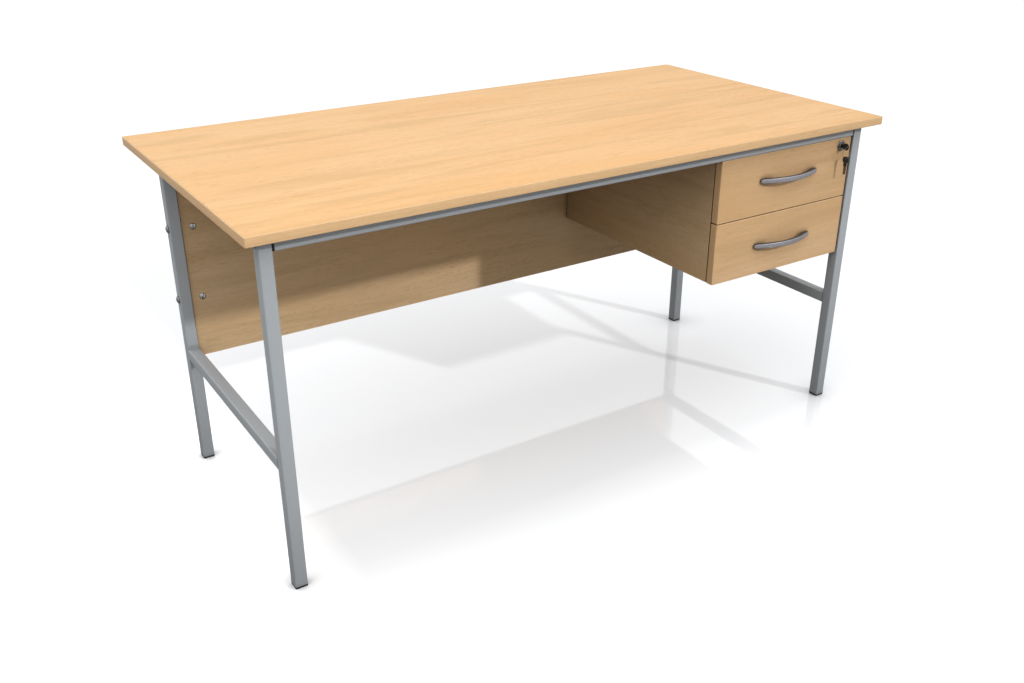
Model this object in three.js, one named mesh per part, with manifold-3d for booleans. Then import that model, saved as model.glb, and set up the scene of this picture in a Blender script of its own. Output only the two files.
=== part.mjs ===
// A teacher's desk: a laminated board top on a bolted frame of square steel tube, with a modesty
// panel between the back legs and a lockable two-drawer pedestal hung under the right-hand end.
// Millimetres, +Z up. The origin is on the floor under the middle of the desktop. +X runs along
// the desk to its drawer end, and -Y faces the person who sits at it.

import * as THREE from 'three';
import { mergeVertices } from 'three/addons/utils/BufferGeometryUtils.js';
import Module from 'manifold-3d';

const wasm = await Module();
wasm.setup();

// ---------- driving dimensions ----------

const GAP = 0.3; // air kept between pieces that touch
const CUT_START = 1; // how far in front of a face a cut begins
const ROUND_STEPS = 18; // flats round a turned piece
const ROD_STEPS = 10; // flats round a bore along X

// desktop
const DESK_LENGTH = 1500;
const DESK_DEPTH = 750;
const DESK_HEIGHT = 720;
const BOARD = 18; // thickness of every laminated board
const EDGING = 2; // thickness of the strip round the desktop
const EDGING_ROUND = 1.5;
const BOARD_CHAMFER = 0.6;

// frame of square tube
const TUBE = 25;
const TUBE_WALL = 1.5;
const TUBE_ROUND = 2.5;
const END_OVERHANG = 30; // desktop's end to the legs' outer faces
const FRONT_OVERHANG = 30;
const BACK_OVERHANG = 142;
const STRETCHER_UNDERSIDE = 254.5;
const FOOT_RIM = 4;
const FOOT_SPIGOT = 22;
const RAIL_PLUG_RIM = 3;
const RAIL_PLUG_SPIGOT = 20;

// bolts
const BOLT_DIAMETER = 6;
const BOLT_CLEARANCE = 0.6; // added to the diameter of every hole for a bolt
const BOLT_SOCKET = 4; // across the flats of the hexagon socket
const BOLT_CROWN = 0.6; // flat crown of a head, as a share of the head's radius
const BOLT_RIM = 0.3; // upright rim of a head, as a share of the head's height
const RAIL_BOLT = { length: 44, headDiameter: 11, headHeight: 2.2 };
const MODESTY_BOLT = { length: 60, headDiameter: 16, headHeight: 4.8 };
const MODESTY_BOLT_HEIGHTS = { upper: 553.5, lower: 394.5 };

// modesty panel
const MODESTY_UNDERSIDE = 257;
const BARREL_NUT_DIAMETER = 13;
const BARREL_NUT_LENGTH = 15;
const BARREL_NUT_INSET = 24; // panel's end to the nut's axis
const BARREL_NUT_SLOT = 1.6;
const BARREL_NUT_CHAMFER = 1;

// pedestal
const PEDESTAL_WIDTH = 398;
const PEDESTAL_UNDERSIDE = 396;
const PEDESTAL_LEG_GAP = 2.5; // pedestal to the right-hand legs
const PEDESTAL_BACK = 6;
const PEDESTAL_BACK_INSET = 4;

// drawers
const FRONT_UNDERSIDE = 394.5; // underside of the lower drawer's front
const FRONT_HEIGHT = 139.5;
const FRONT_SPLIT = 2; // gap between the two fronts
const FRONT_SETBACK = 4; // legs' front faces to the drawer fronts
const FRONT_STANDOFF = 2.5; // drawer fronts to the pedestal's front edges
const DRAWER_TRAVEL_CLEARANCE = 13; // steel side to the pedestal's side
const DRAWER_LENGTH = 480;
const DRAWER_SIDE_HEIGHT = 86;
const DRAWER_BACK = 12;
const DRAWER_BASE = 6;
const UPPER_BOX_UNDERSIDE = 548.5;
const LOWER_BOX_UNDERSIDE = 424.5;
const SHEET = 1.2; // thickness of pressed steel
const BASE_LEDGE = 14; // inward flange that carries the drawer's base
const SIDE_RIM = 6.5; // outward return along the side's top
const SIDE_RIM_LIP = 8;
const TRACK_FLANGE = 10;
const TRACK_LIP = 7;
const TRACK_HEIGHT = 26; // side's underside to its track flange
const RUNNER_LOW_FLANGE = 14; // side's underside to the runner's lower flange
const RUNNER_HIGH_FLANGE = 38;
const RUNNER_LOW_WIDTH = 11.5;
const RUNNER_HIGH_WIDTH = 10;
const RUNNER_LENGTH = 500;

// bow handles
const HANDLE_CENTRE_X = 498;
const HANDLE_LENGTH = 172;
const HANDLE_PROJECTION = 26;
const HANDLE_FOOT = 12;
const HANDLE_THICKNESS = 7;
const HANDLE_END = 5; // projection of the blunt ends
const HANDLE_HEIGHT = 12;
const HANDLE_ROUND = 1.4;
const HANDLE_STEPS = 14; // segments along each arc of the bow
const UPPER_HANDLE_Z = 614.5;
const LOWER_HANDLE_Z = 464;

// cam lock in the upper drawer's front, on an axis along Y
const LOCK_X = 661;
const LOCK_Z = 657.7;
const ROSETTE_DIAMETER = 25;
const ROSETTE_THICKNESS = 2;
const ROSETTE_CHAMFER = 1.5;
const ROSETTE_RIM = 0.6;
const LOCK_BARREL_DIAMETER = 19;
const LOCK_NUT_DIAMETER = 24;
const LOCK_NUT_THICKNESS = 3;
const PLUG_DIAMETER = 13;
const PLUG_LENGTH = 27;
const PLUG_PROUD = 0.3;
const PLUG_CHAMFER = 0.5;
const PLUG_TAIL_DIAMETER = 6;
const PLUG_TAIL_LENGTH = 4;
const CAM_THICKNESS = 2;
const CAM_LENGTH = 20;
const CAM_WIDTH = 9;
const CAM_CHAMFER = 2;
const CAM_STEPS = 8;
const STRIKE_DEPTH = 8; // slot for the cam in the pedestal's right side
const STRIKE_WIDTH = 6;
const STRIKE_HEIGHT = 22;
const STRIKE_CLEARANCE = 2; // above the turned cam

// keys, with their heads edge-on to the drawer front
const KEY_HEAD_DIAMETER = 16;
const KEY_HEAD_THICKNESS = 2.6;
const KEY_HOLE_DIAMETER = 3.4;
const KEY_HOLE_OFFSET = 4; // head's centre to its hole
const KEY_HEAD_REACH = 14.5; // drawer front to the centre of the head
const BLADE_THICKNESS = 2;
const BLADE_WIDTH = 8;
const BLADE_LENGTH = 26;
const BLADE_OVERLAP = 1.5; // buried in the head
const BLADE_TIP = 3; // length of the blade's tapered tip
const BLADE_POINT = 1 / 3; // width of the tip's end, as a share of the blade's width
const KEY_STEPS = 10; // segments round the head
const KEYWAY_LENGTH = 23;
const RING_RADIUS = 12.6;
const RING_WIRE = 1.4;
const RING_STEPS = 28; // segments round the ring
const WIRE_STEPS = 6; // flats round its wire

// ---------- places worked out from the dimensions ----------

const FRAME_TOP = DESK_HEIGHT - BOARD - GAP;
const LEG_X = DESK_LENGTH / 2 - END_OVERHANG - TUBE / 2;
const LEG_INNER_X = LEG_X - TUBE / 2;
const LEG_OUTER_X = LEG_X + TUBE / 2;
const FRONT_LEG_Y = -DESK_DEPTH / 2 + FRONT_OVERHANG + TUBE / 2;
const BACK_LEG_Y = DESK_DEPTH / 2 - BACK_OVERHANG - TUBE / 2;
const RAIL_Z = FRAME_TOP - TUBE / 2;
const RAIL_UNDERSIDE = FRAME_TOP - TUBE;
const TUBE_BORE = TUBE - 2 * TUBE_WALL;

const PANEL_FRONT_Y = BACK_LEG_Y - BOARD / 2;
const PEDESTAL_RIGHT = LEG_INNER_X - PEDESTAL_LEG_GAP;
const PEDESTAL_LEFT = PEDESTAL_RIGHT - PEDESTAL_WIDTH;
const PEDESTAL_X = (PEDESTAL_LEFT + PEDESTAL_RIGHT) / 2;
const INNER_HALF_WIDTH = PEDESTAL_WIDTH / 2 - BOARD;
const FRONT_FACE_Y = FRONT_LEG_Y - TUBE / 2 + FRONT_SETBACK;
const PEDESTAL_FRONT_Y = FRONT_FACE_Y + BOARD + FRONT_STANDOFF;
const PEDESTAL_REAR_Y = PANEL_FRONT_Y - GAP;
const FRONT_NOTCH_Y = FRONT_LEG_Y + TUBE / 2 + GAP;
const REAR_NOTCH_Y = BACK_LEG_Y - TUBE / 2 - GAP;
const BOX_FRONT_Y = FRONT_FACE_Y + BOARD + GAP;
const BOX_HALF_WIDTH = INNER_HALF_WIDTH - DRAWER_TRAVEL_CLEARANCE;
const CAM_FRONT_Y = FRONT_FACE_Y - ROSETTE_THICKNESS - PLUG_PROUD + PLUG_LENGTH + GAP;

// ---------- looks ----------

const BEECH = { color: 0xe2bd8b, roughness: 0.45, metalness: 0 };
const BEECH_EDGE = { color: 0xd9b07b, roughness: 0.5, metalness: 0 };
const SILVER_PAINT = { color: 0x969ea6, roughness: 0.42, metalness: 0.35 };
const BLACK_PLASTIC = { color: 0x141414, roughness: 0.55, metalness: 0 };
const ZINC = { color: 0xb4b4b0, roughness: 0.3, metalness: 1 };
const CHROME = { color: 0xc8c8ca, roughness: 0.15, metalness: 1 };
const WHITE_PAINT = { color: 0xd8d9d6, roughness: 0.4, metalness: 0.1 };
const SATIN_METAL = { color: 0xa4a6aa, roughness: 0.3, metalness: 1 };
const HARDBOARD = { color: 0xd8d2c6, roughness: 0.6, metalness: 0 };

// ---------- helpers ----------

function piece(name, geometry, look) {
  const mesh = new THREE.Mesh(geometry, new THREE.MeshStandardMaterial(look));
  mesh.name = name;
  return mesh;
}

function at(object, x, y, z) {
  object.position.set(x, y, z);
  return object;
}

function solidOf(geometry) {
  const plain = geometry.clone();
  plain.deleteAttribute('normal');
  plain.deleteAttribute('uv');
  const merged = mergeVertices(plain);
  const mesh = new wasm.Mesh({
    numProp: 3,
    vertProperties: new Float32Array(merged.attributes.position.array),
    triVerts: new Uint32Array(merged.index.array),
  });
  return new wasm.Manifold(mesh);
}

function geometryOf(solid) {
  const mesh = solid.getMesh();
  const geometry = new THREE.BufferGeometry();
  geometry.setAttribute('position', new THREE.BufferAttribute(mesh.vertProperties, 3));
  geometry.setIndex(new THREE.BufferAttribute(mesh.triVerts, 1));
  geometry.computeVertexNormals();
  return geometry;
}

function joined(geometries) {
  return geometryOf(geometries.map(solidOf).reduce((whole, part) => whole.add(part)));
}

function cut(geometry, tools) {
  return geometryOf(tools.map(solidOf).reduce((whole, tool) => whole.subtract(tool), solidOf(geometry)));
}

function roundedRectangle(width, height, radius) {
  const x = width / 2 - radius;
  const y = height / 2 - radius;
  const quarter = Math.PI / 2;
  const shape = new THREE.Shape();
  shape.absarc(x, y, radius, 0, quarter);
  shape.absarc(-x, y, radius, quarter, 2 * quarter);
  shape.absarc(-x, -y, radius, 2 * quarter, 3 * quarter);
  shape.absarc(x, -y, radius, 3 * quarter, 4 * quarter);
  return shape;
}

function extruded(shape, depth, curveSegments = 2) {
  return new THREE.ExtrudeGeometry(shape, { depth, curveSegments, bevelEnabled: false });
}

// An extrusion whose end edges are chamfered, or rounded with more steps, from z = 0 to z = depth.
function softExtruded(shape, depth, round, curveSegments = 2, steps = 1) {
  const geometry = new THREE.ExtrudeGeometry(shape, {
    depth: depth - 2 * round,
    curveSegments,
    bevelThickness: round,
    bevelSize: round,
    bevelOffset: -round,
    bevelSegments: steps,
  });
  return geometry.translate(0, 0, round);
}

// Turns a shape drawn in (Y, Z) and extruded along its own normal to run along +X.
function alongX(geometry) {
  const axes = [new THREE.Vector3(0, 1, 0), new THREE.Vector3(0, 0, 1), new THREE.Vector3(1, 0, 0)];
  return geometry.applyMatrix4(new THREE.Matrix4().makeBasis(...axes));
}

// Turns a shape drawn in (X, Z) and extruded along its own normal to run along -Y.
function alongMinusY(geometry) {
  const axes = [new THREE.Vector3(1, 0, 0), new THREE.Vector3(0, 0, 1), new THREE.Vector3(0, -1, 0)];
  return geometry.applyMatrix4(new THREE.Matrix4().makeBasis(...axes));
}

// A profile of [radius, height] points turned about Y.
function lathed(profile) {
  return new THREE.LatheGeometry(profile.map((point) => new THREE.Vector2(...point)), ROUND_STEPS);
}

// A box given by its lowest and highest corners.
function block(low, high) {
  const size = high.map((value, axis) => value - low[axis]);
  const middle = high.map((value, axis) => (value + low[axis]) / 2);
  return new THREE.BoxGeometry(...size).translate(...middle);
}

// A cylinder along X centred on a point.
function rodX(diameter, length, x, y, z) {
  const rod = new THREE.CylinderGeometry(diameter / 2, diameter / 2, length, ROD_STEPS);
  return rod.rotateZ(Math.PI / 2).translate(x, y, z);
}

// A cylinder along Y from one y to another.
function rodY(diameter, fromY, toY, x, z) {
  const rod = new THREE.CylinderGeometry(diameter / 2, diameter / 2, toY - fromY, ROUND_STEPS);
  return rod.translate(x, (fromY + toY) / 2, z);
}

// A laminated board with its edges eased, given by its lowest and highest corners.
function board(low, high) {
  const [width, depth, height] = high.map((value, axis) => value - low[axis]);
  const outline = roundedRectangle(width, depth, BOARD_CHAMFER);
  const geometry = softExtruded(outline, height, BOARD_CHAMFER, 1);
  return geometry.translate((low[0] + high[0]) / 2, (low[1] + high[1]) / 2, low[2]);
}

// ---------- desktop ----------

function desktopBoard() {
  const x = DESK_LENGTH / 2 - EDGING - GAP;
  const y = DESK_DEPTH / 2 - EDGING - GAP;
  return block([-x, -y, 0], [x, y, BOARD]);
}

function desktopEdging() {
  const outline = roundedRectangle(DESK_LENGTH, DESK_DEPTH, 2 * EDGING_ROUND);
  const whole = softExtruded(outline, BOARD, EDGING_ROUND, 2, 2);
  const x = DESK_LENGTH / 2 - EDGING;
  const y = DESK_DEPTH / 2 - EDGING;
  return cut(whole, [block([-x, -y, -BOARD], [x, y, 2 * BOARD])]);
}

function desktop() {
  const group = at(new THREE.Group(), 0, 0, DESK_HEIGHT - BOARD);
  group.add(piece('desktop', desktopBoard(), BEECH));
  group.add(piece('desktop_edging', desktopEdging(), BEECH_EDGE));
  return group;
}

// ---------- frame ----------

function squareTube(length) {
  const section = roundedRectangle(TUBE, TUBE, TUBE_ROUND);
  section.holes.push(roundedRectangle(TUBE_BORE, TUBE_BORE, TUBE_ROUND - TUBE_WALL));
  return extruded(section, length);
}

// A leg stands on the floor at its own origin, with a crosswise bolt hole at each height given.
function leg(boltHeights) {
  const bottom = FOOT_RIM + GAP;
  const tube = squareTube(FRAME_TOP - bottom).translate(0, 0, bottom);
  return cut(tube, boltHeights.map((z) => rodX(BOLT_DIAMETER + BOLT_CLEARANCE, 2 * TUBE, 0, 0, z)));
}

// A plug with a rim as wide as the tube and a spigot that enters it.
function tubePlug(rim, spigot) {
  const cap = extruded(roundedRectangle(TUBE, TUBE, TUBE_ROUND), rim);
  const width = TUBE_BORE - 2 * GAP;
  const stem = extruded(roundedRectangle(width, width, TUBE_ROUND - TUBE_WALL), spigot + rim / 2, 1);
  return joined([cap, stem.translate(0, 0, rim / 2)]);
}

function foot() {
  return tubePlug(FOOT_RIM, FOOT_SPIGOT);
}

// The plug's rim faces the leg, its spigot enters the rail, and the rail's bolt screws into it.
function railPlug() {
  const plug = tubePlug(RAIL_PLUG_RIM, RAIL_PLUG_SPIGOT);
  const bore = rodX(BOLT_DIAMETER + BOLT_CLEARANCE, 4 * RAIL_PLUG_SPIGOT, 0, 0, 0);
  return cut(alongX(plug), [bore]);
}

// A button-headed bolt along +X, with the underside of its head at the origin.
function bolt({ length, headDiameter, headHeight }) {
  const shank = BOLT_DIAMETER / 2;
  const head = headDiameter / 2;
  const profile = [
    [0, -headHeight],
    [BOLT_CROWN * head, -headHeight],
    [head, -BOLT_RIM * headHeight],
    [head, 0],
    [shank, 0],
    [shank, length],
    [0, length],
  ];
  const socketRadius = BOLT_SOCKET / Math.sqrt(3);
  const socket = new THREE.CylinderGeometry(socketRadius, socketRadius, headHeight, 6);
  const geometry = cut(lathed(profile), [socket.translate(0, -headHeight, 0)]);
  return geometry.rotateZ(-Math.PI / 2);
}

// A bolt through a leg from outside: side is -1 at the left-hand end and 1 at the right.
function legBolt(name, size, side, y, z) {
  const mesh = at(piece(name, bolt(size), ZINC), side * (LEG_OUTER_X + GAP), y, z);
  mesh.rotation.z = side > 0 ? Math.PI : 0;
  return mesh;
}

function crossTube(name, side, centreZ) {
  const length = BACK_LEG_Y - FRONT_LEG_Y - TUBE - 2 * GAP;
  const mesh = piece(name, squareTube(length), SILVER_PAINT);
  mesh.rotation.x = -Math.PI / 2;
  return at(mesh, side * LEG_X, FRONT_LEG_Y + TUBE / 2 + GAP, centreZ);
}

function endFrame(sideName, side) {
  const group = new THREE.Group();
  const modestyHoles = Object.values(MODESTY_BOLT_HEIGHTS);
  const uprights = [
    ['front', FRONT_LEG_Y, [RAIL_Z]],
    ['back', BACK_LEG_Y, [RAIL_Z, ...modestyHoles]],
  ];
  for (const [endName, y, holes] of uprights) {
    group.add(at(piece(`leg_${endName}_${sideName}`, leg(holes), SILVER_PAINT), side * LEG_X, y, 0));
    group.add(at(piece(`foot_${endName}_${sideName}`, foot(), BLACK_PLASTIC), side * LEG_X, y, 0));
    group.add(legBolt(`rail_bolt_${endName}_${sideName}`, RAIL_BOLT, side, y, RAIL_Z));
  }
  group.add(crossTube(`top_bar_${sideName}`, side, RAIL_Z));
  group.add(crossTube(`stretcher_${sideName}`, side, STRETCHER_UNDERSIDE + TUBE / 2));
  return group;
}

function longRail(endName, y) {
  const group = at(new THREE.Group(), 0, y, RAIL_Z);
  const railHalf = LEG_INNER_X - RAIL_PLUG_RIM - 2 * GAP;
  const rail = piece(`rail_${endName}`, alongX(squareTube(2 * railHalf)), SILVER_PAINT);
  group.add(at(rail, -railHalf, 0, 0));
  for (const [sideName, side] of [['left', -1], ['right', 1]]) {
    const plug = piece(`rail_plug_${endName}_${sideName}`, railPlug(), BLACK_PLASTIC);
    plug.rotation.z = side > 0 ? Math.PI : 0;
    group.add(at(plug, side * (LEG_INNER_X - GAP), 0, 0));
  }
  return group;
}

// ---------- modesty panel ----------

function modestyBoard() {
  const x = LEG_INNER_X - GAP;
  const top = RAIL_UNDERSIDE - GAP;
  const nutBore = BARREL_NUT_DIAMETER + 2 * GAP;
  const nutBottom = PANEL_FRONT_Y + BARREL_NUT_LENGTH;
  const boltBore = BOLT_DIAMETER + BOLT_CLEARANCE;
  const boltHole = 4 * BARREL_NUT_INSET - BOARD;
  const tools = [];
  for (const side of [-1, 1]) {
    for (const z of Object.values(MODESTY_BOLT_HEIGHTS)) {
      const nutX = side * (x - BARREL_NUT_INSET);
      tools.push(rodY(nutBore, PANEL_FRONT_Y - BOARD, nutBottom, nutX, z));
      tools.push(rodX(boltBore, boltHole, side * x, BACK_LEG_Y, z));
    }
  }
  const low = [-x, PANEL_FRONT_Y, MODESTY_UNDERSIDE];
  return cut(board(low, [x, PANEL_FRONT_Y + BOARD, top]), tools);
}

// A barrel nut along Y, slotted at the end that shows, with its origin where the bolt crosses it.
function barrelNut() {
  const front = PANEL_FRONT_Y - BACK_LEG_Y;
  const radius = BARREL_NUT_DIAMETER / 2;
  const back = front + BARREL_NUT_LENGTH;
  const profile = [
    [0, front],
    [radius - BARREL_NUT_CHAMFER, front],
    [radius, front + BARREL_NUT_CHAMFER],
    [radius, back],
    [0, back],
  ];
  const half = BARREL_NUT_SLOT / 2;
  const slotLow = [-half, front - BARREL_NUT_SLOT, -2 * radius];
  const slot = block(slotLow, [half, front + BARREL_NUT_SLOT, 2 * radius]);
  const cross = rodX(BOLT_DIAMETER + BOLT_CLEARANCE, 3 * radius, 0, 0, 0);
  return cut(lathed(profile), [slot, cross]);
}

function modestyPanel() {
  const group = new THREE.Group();
  group.add(piece('modesty_panel', modestyBoard(), BEECH));
  for (const [sideName, side] of [['left', -1], ['right', 1]]) {
    for (const [levelName, z] of Object.entries(MODESTY_BOLT_HEIGHTS)) {
      const tag = `${levelName}_${sideName}`;
      group.add(legBolt(`modesty_bolt_${tag}`, MODESTY_BOLT, side, BACK_LEG_Y, z));
      const nut = piece(`barrel_nut_${tag}`, barrelNut(), ZINC);
      group.add(at(nut, side * (LEG_INNER_X - GAP - BARREL_NUT_INSET), BACK_LEG_Y, z));
    }
  }
  return group;
}

// ---------- pedestal ----------

// A side board runs from the front edge to the modesty panel and is notched round both long rails.
function pedestalSide() {
  const notchZ = RAIL_UNDERSIDE - GAP;
  const outline = new THREE.Shape();
  outline.moveTo(PEDESTAL_FRONT_Y, PEDESTAL_UNDERSIDE);
  outline.lineTo(PEDESTAL_REAR_Y, PEDESTAL_UNDERSIDE);
  outline.lineTo(PEDESTAL_REAR_Y, notchZ);
  outline.lineTo(REAR_NOTCH_Y, notchZ);
  outline.lineTo(REAR_NOTCH_Y, FRAME_TOP);
  outline.lineTo(FRONT_NOTCH_Y, FRAME_TOP);
  outline.lineTo(FRONT_NOTCH_Y, notchZ);
  outline.lineTo(PEDESTAL_FRONT_Y, notchZ);
  return alongX(softExtruded(outline, BOARD, BOARD_CHAMFER));
}

// The slot that takes the turned cam, in the inner face of the right-hand side board.
function strikeSlot() {
  const y = CAM_FRONT_Y + CAM_THICKNESS / 2;
  const top = LOCK_Z + CAM_WIDTH / 2 + STRIKE_CLEARANCE;
  const face = PEDESTAL_X + INNER_HALF_WIDTH;
  const low = [face - CUT_START, y - STRIKE_WIDTH / 2, top - STRIKE_HEIGHT];
  return block(low, [face + STRIKE_DEPTH, y + STRIKE_WIDTH / 2, top]);
}

function pedestal() {
  const group = new THREE.Group();
  const leftX = PEDESTAL_LEFT;
  const rightX = PEDESTAL_RIGHT - BOARD;
  const rightSide = cut(pedestalSide().translate(rightX, 0, 0), [strikeSlot()]);
  group.add(at(piece('pedestal_side_left', pedestalSide(), BEECH), leftX, 0, 0));
  group.add(piece('pedestal_side_right', rightSide, BEECH));

  const low = PEDESTAL_X - INNER_HALF_WIDTH + GAP;
  const high = PEDESTAL_X + INNER_HALF_WIDTH - GAP;
  const backFront = REAR_NOTCH_Y - PEDESTAL_BACK_INSET - PEDESTAL_BACK;
  const baseTop = PEDESTAL_UNDERSIDE + BOARD;
  const topUnderside = FRAME_TOP - BOARD;
  const baseLow = [low, PEDESTAL_FRONT_Y, PEDESTAL_UNDERSIDE];
  const base = board(baseLow, [high, PEDESTAL_REAR_Y, baseTop]);
  const topLow = [low, FRONT_NOTCH_Y, topUnderside];
  const top = board(topLow, [high, REAR_NOTCH_Y, FRAME_TOP]);
  const backLow = [low, backFront, baseTop + GAP];
  const back = block(backLow, [high, backFront + PEDESTAL_BACK, topUnderside - GAP]);
  group.add(piece('pedestal_base', base, BEECH));
  group.add(piece('pedestal_top', top, BEECH));
  group.add(piece('pedestal_back', back, HARDBOARD));
  return group;
}

// A pressed steel channel screwed to a pedestal side, in which a drawer's track flange runs.
// Its origin is on the side board's inner face, level with the drawer side's underside.
function cabinetRunner(side) {
  const box = (reach, fromZ, toZ) => {
    const edges = [-side * GAP, -side * (GAP + reach)].sort((a, b) => a - b);
    return block([edges[0], 0, fromZ], [edges[1], RUNNER_LENGTH, toZ]);
  };
  return joined([
    box(SHEET, RUNNER_LOW_FLANGE, RUNNER_HIGH_FLANGE + SHEET),
    box(RUNNER_LOW_WIDTH, RUNNER_LOW_FLANGE, RUNNER_LOW_FLANGE + SHEET),
    box(RUNNER_HIGH_WIDTH, RUNNER_HIGH_FLANGE, RUNNER_HIGH_FLANGE + SHEET),
  ]);
}

function runners(levelName, underside) {
  const group = new THREE.Group();
  for (const [sideName, side] of [['left', -1], ['right', 1]]) {
    const runner = piece(`runner_${levelName}_${sideName}`, cabinetRunner(side), WHITE_PAINT);
    const x = PEDESTAL_X + side * INNER_HALF_WIDTH;
    group.add(at(runner, x, PEDESTAL_FRONT_Y + BOARD / 2, underside));
  }
  return group;
}

// ---------- drawers ----------

function drawerFront(underside, tools) {
  const low = [PEDESTAL_LEFT, FRONT_FACE_Y, underside];
  const high = [PEDESTAL_RIGHT, FRONT_FACE_Y + BOARD, underside + FRONT_HEIGHT];
  const front = board(low, high);
  return tools.length ? cut(front, tools) : front;
}

// A drawer side of pressed steel, with a ledge for the base, a rolled rim and a track flange.
// Its origin is on its outer face at its front lower corner, and side is its outward direction.
function drawerSide(side) {
  const box = (fromX, toX, fromZ, toZ) => {
    const edges = [side * fromX, side * toX].sort((a, b) => a - b);
    return block([edges[0], 0, fromZ], [edges[1], DRAWER_LENGTH, toZ]);
  };
  const top = DRAWER_SIDE_HEIGHT;
  const track = TRACK_HEIGHT;
  return joined([
    box(-SHEET, 0, 0, top),
    box(-SHEET - BASE_LEDGE, 0, 0, SHEET),
    box(-SHEET, SIDE_RIM, top - SHEET, top),
    box(SIDE_RIM - SHEET, SIDE_RIM, top - SIDE_RIM_LIP, top),
    box(-SHEET, TRACK_FLANGE, track, track + SHEET),
    box(TRACK_FLANGE - SHEET, TRACK_FLANGE, track + SHEET - TRACK_LIP, track + SHEET),
  ]);
}

// The bow is a band between two arcs, standing out towards -Y from two flat feet at its ends.
function bowHandle() {
  const arcOf = (chord, rise) => {
    const radius = (chord * chord / 4 + rise * rise) / (2 * rise);
    return { radius, centre: radius - rise, half: Math.asin(chord / 2 / radius) };
  };
  const down = -Math.PI / 2;
  const end = HANDLE_LENGTH / 2;
  const outer = arcOf(HANDLE_LENGTH, HANDLE_PROJECTION - HANDLE_END);
  const outerCentre = outer.centre - HANDLE_END;
  const inner = arcOf(HANDLE_LENGTH - 2 * HANDLE_FOOT, HANDLE_PROJECTION - HANDLE_THICKNESS);
  const outline = new THREE.Shape();
  outline.absarc(0, outerCentre, outer.radius, down - outer.half, down + outer.half, false);
  outline.lineTo(end, 0);
  outline.absarc(0, inner.centre, inner.radius, down + inner.half, down - inner.half, true);
  outline.lineTo(-end, 0);
  const bow = softExtruded(outline, HANDLE_HEIGHT, HANDLE_ROUND, HANDLE_STEPS);
  return bow.translate(0, 0, -HANDLE_HEIGHT / 2);
}

function drawer(name, frontUnderside, boxUnderside, handleZ, frontTools) {
  const group = new THREE.Group();
  group.add(piece(`${name}_front`, drawerFront(frontUnderside, frontTools), BEECH));
  for (const [sideName, side] of [['left', -1], ['right', 1]]) {
    const wall = piece(`${name}_side_${sideName}`, drawerSide(side), WHITE_PAINT);
    group.add(at(wall, PEDESTAL_X + side * BOX_HALF_WIDTH, BOX_FRONT_Y, boxUnderside));
  }
  const innerX = BOX_HALF_WIDTH - SHEET - GAP;
  const backY = BOX_FRONT_Y + DRAWER_LENGTH - DRAWER_BACK - GAP;
  const baseZ = boxUnderside + SHEET + GAP;
  const backTop = boxUnderside + DRAWER_SIDE_HEIGHT - 2 * SHEET;
  const baseHigh = [PEDESTAL_X + innerX, backY - GAP, baseZ + DRAWER_BASE];
  const base = block([PEDESTAL_X - innerX, BOX_FRONT_Y, baseZ], baseHigh);
  const backHigh = [PEDESTAL_X + innerX, backY + DRAWER_BACK, backTop];
  const back = board([PEDESTAL_X - innerX, backY, baseZ], backHigh);
  group.add(piece(`${name}_base`, base, HARDBOARD));
  group.add(piece(`${name}_back`, back, HARDBOARD));
  const handle = piece(`${name}_handle`, bowHandle(), SATIN_METAL);
  group.add(at(handle, HANDLE_CENTRE_X, FRONT_FACE_Y - GAP, handleZ));
  return group;
}

// ---------- lock and keys ----------

// The origin of each lock piece is on the lock's axis in the plane of the drawer front's face.

function lockHousing() {
  const bore = PLUG_DIAMETER / 2 + GAP;
  const barrel = LOCK_BARREL_DIAMETER / 2;
  const rosette = ROSETTE_DIAMETER / 2;
  const nut = LOCK_NUT_DIAMETER / 2;
  const nutFront = BOARD + GAP;
  const nutBack = nutFront + LOCK_NUT_THICKNESS;
  const rear = PLUG_LENGTH - ROSETTE_THICKNESS - PLUG_PROUD;
  const profile = [
    [bore, -ROSETTE_THICKNESS],
    [rosette - ROSETTE_CHAMFER, -ROSETTE_THICKNESS],
    [rosette, -GAP - ROSETTE_RIM],
    [rosette, -GAP],
    [barrel, -GAP],
    [barrel, nutFront],
    [nut, nutFront],
    [nut, nutBack],
    [barrel, nutBack],
    [barrel, rear],
    [bore, rear],
    [bore, -ROSETTE_THICKNESS],
  ];
  return lathed(profile);
}

function lockPlug() {
  const radius = PLUG_DIAMETER / 2;
  const tail = PLUG_TAIL_DIAMETER / 2;
  const front = -ROSETTE_THICKNESS - PLUG_PROUD;
  const shoulder = front + PLUG_LENGTH;
  const profile = [
    [0, front],
    [radius - PLUG_CHAMFER, front],
    [radius, front + PLUG_CHAMFER],
    [radius, shoulder],
    [tail, shoulder],
    [tail, shoulder + PLUG_TAIL_LENGTH],
    [0, shoulder + PLUG_TAIL_LENGTH],
  ];
  const x = BLADE_THICKNESS / 2 + GAP;
  const z = BLADE_WIDTH / 2 + GAP;
  const keyway = block([-x, front - CUT_START, -z], [x, front + KEYWAY_LENGTH, z]);
  return cut(lathed(profile), [keyway]);
}

// The cam hangs down from the plug's tail when the lock is open.
function lockCam() {
  const half = CAM_WIDTH / 2;
  const outline = new THREE.Shape();
  outline.absarc(0, 0, half, 0, Math.PI, false);
  outline.lineTo(-half, CAM_CHAMFER - CAM_LENGTH);
  outline.lineTo(CAM_CHAMFER - half, -CAM_LENGTH);
  outline.lineTo(half - CAM_CHAMFER, -CAM_LENGTH);
  outline.lineTo(half, CAM_CHAMFER - CAM_LENGTH);
  const hole = new THREE.Path();
  hole.absarc(0, 0, PLUG_TAIL_DIAMETER / 2 + GAP, 0, 2 * Math.PI, true);
  outline.holes.push(hole);
  const front = CAM_FRONT_Y - FRONT_FACE_Y;
  return alongMinusY(extruded(outline, CAM_THICKNESS, CAM_STEPS)).translate(0, front + CAM_THICKNESS, 0);
}

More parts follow.
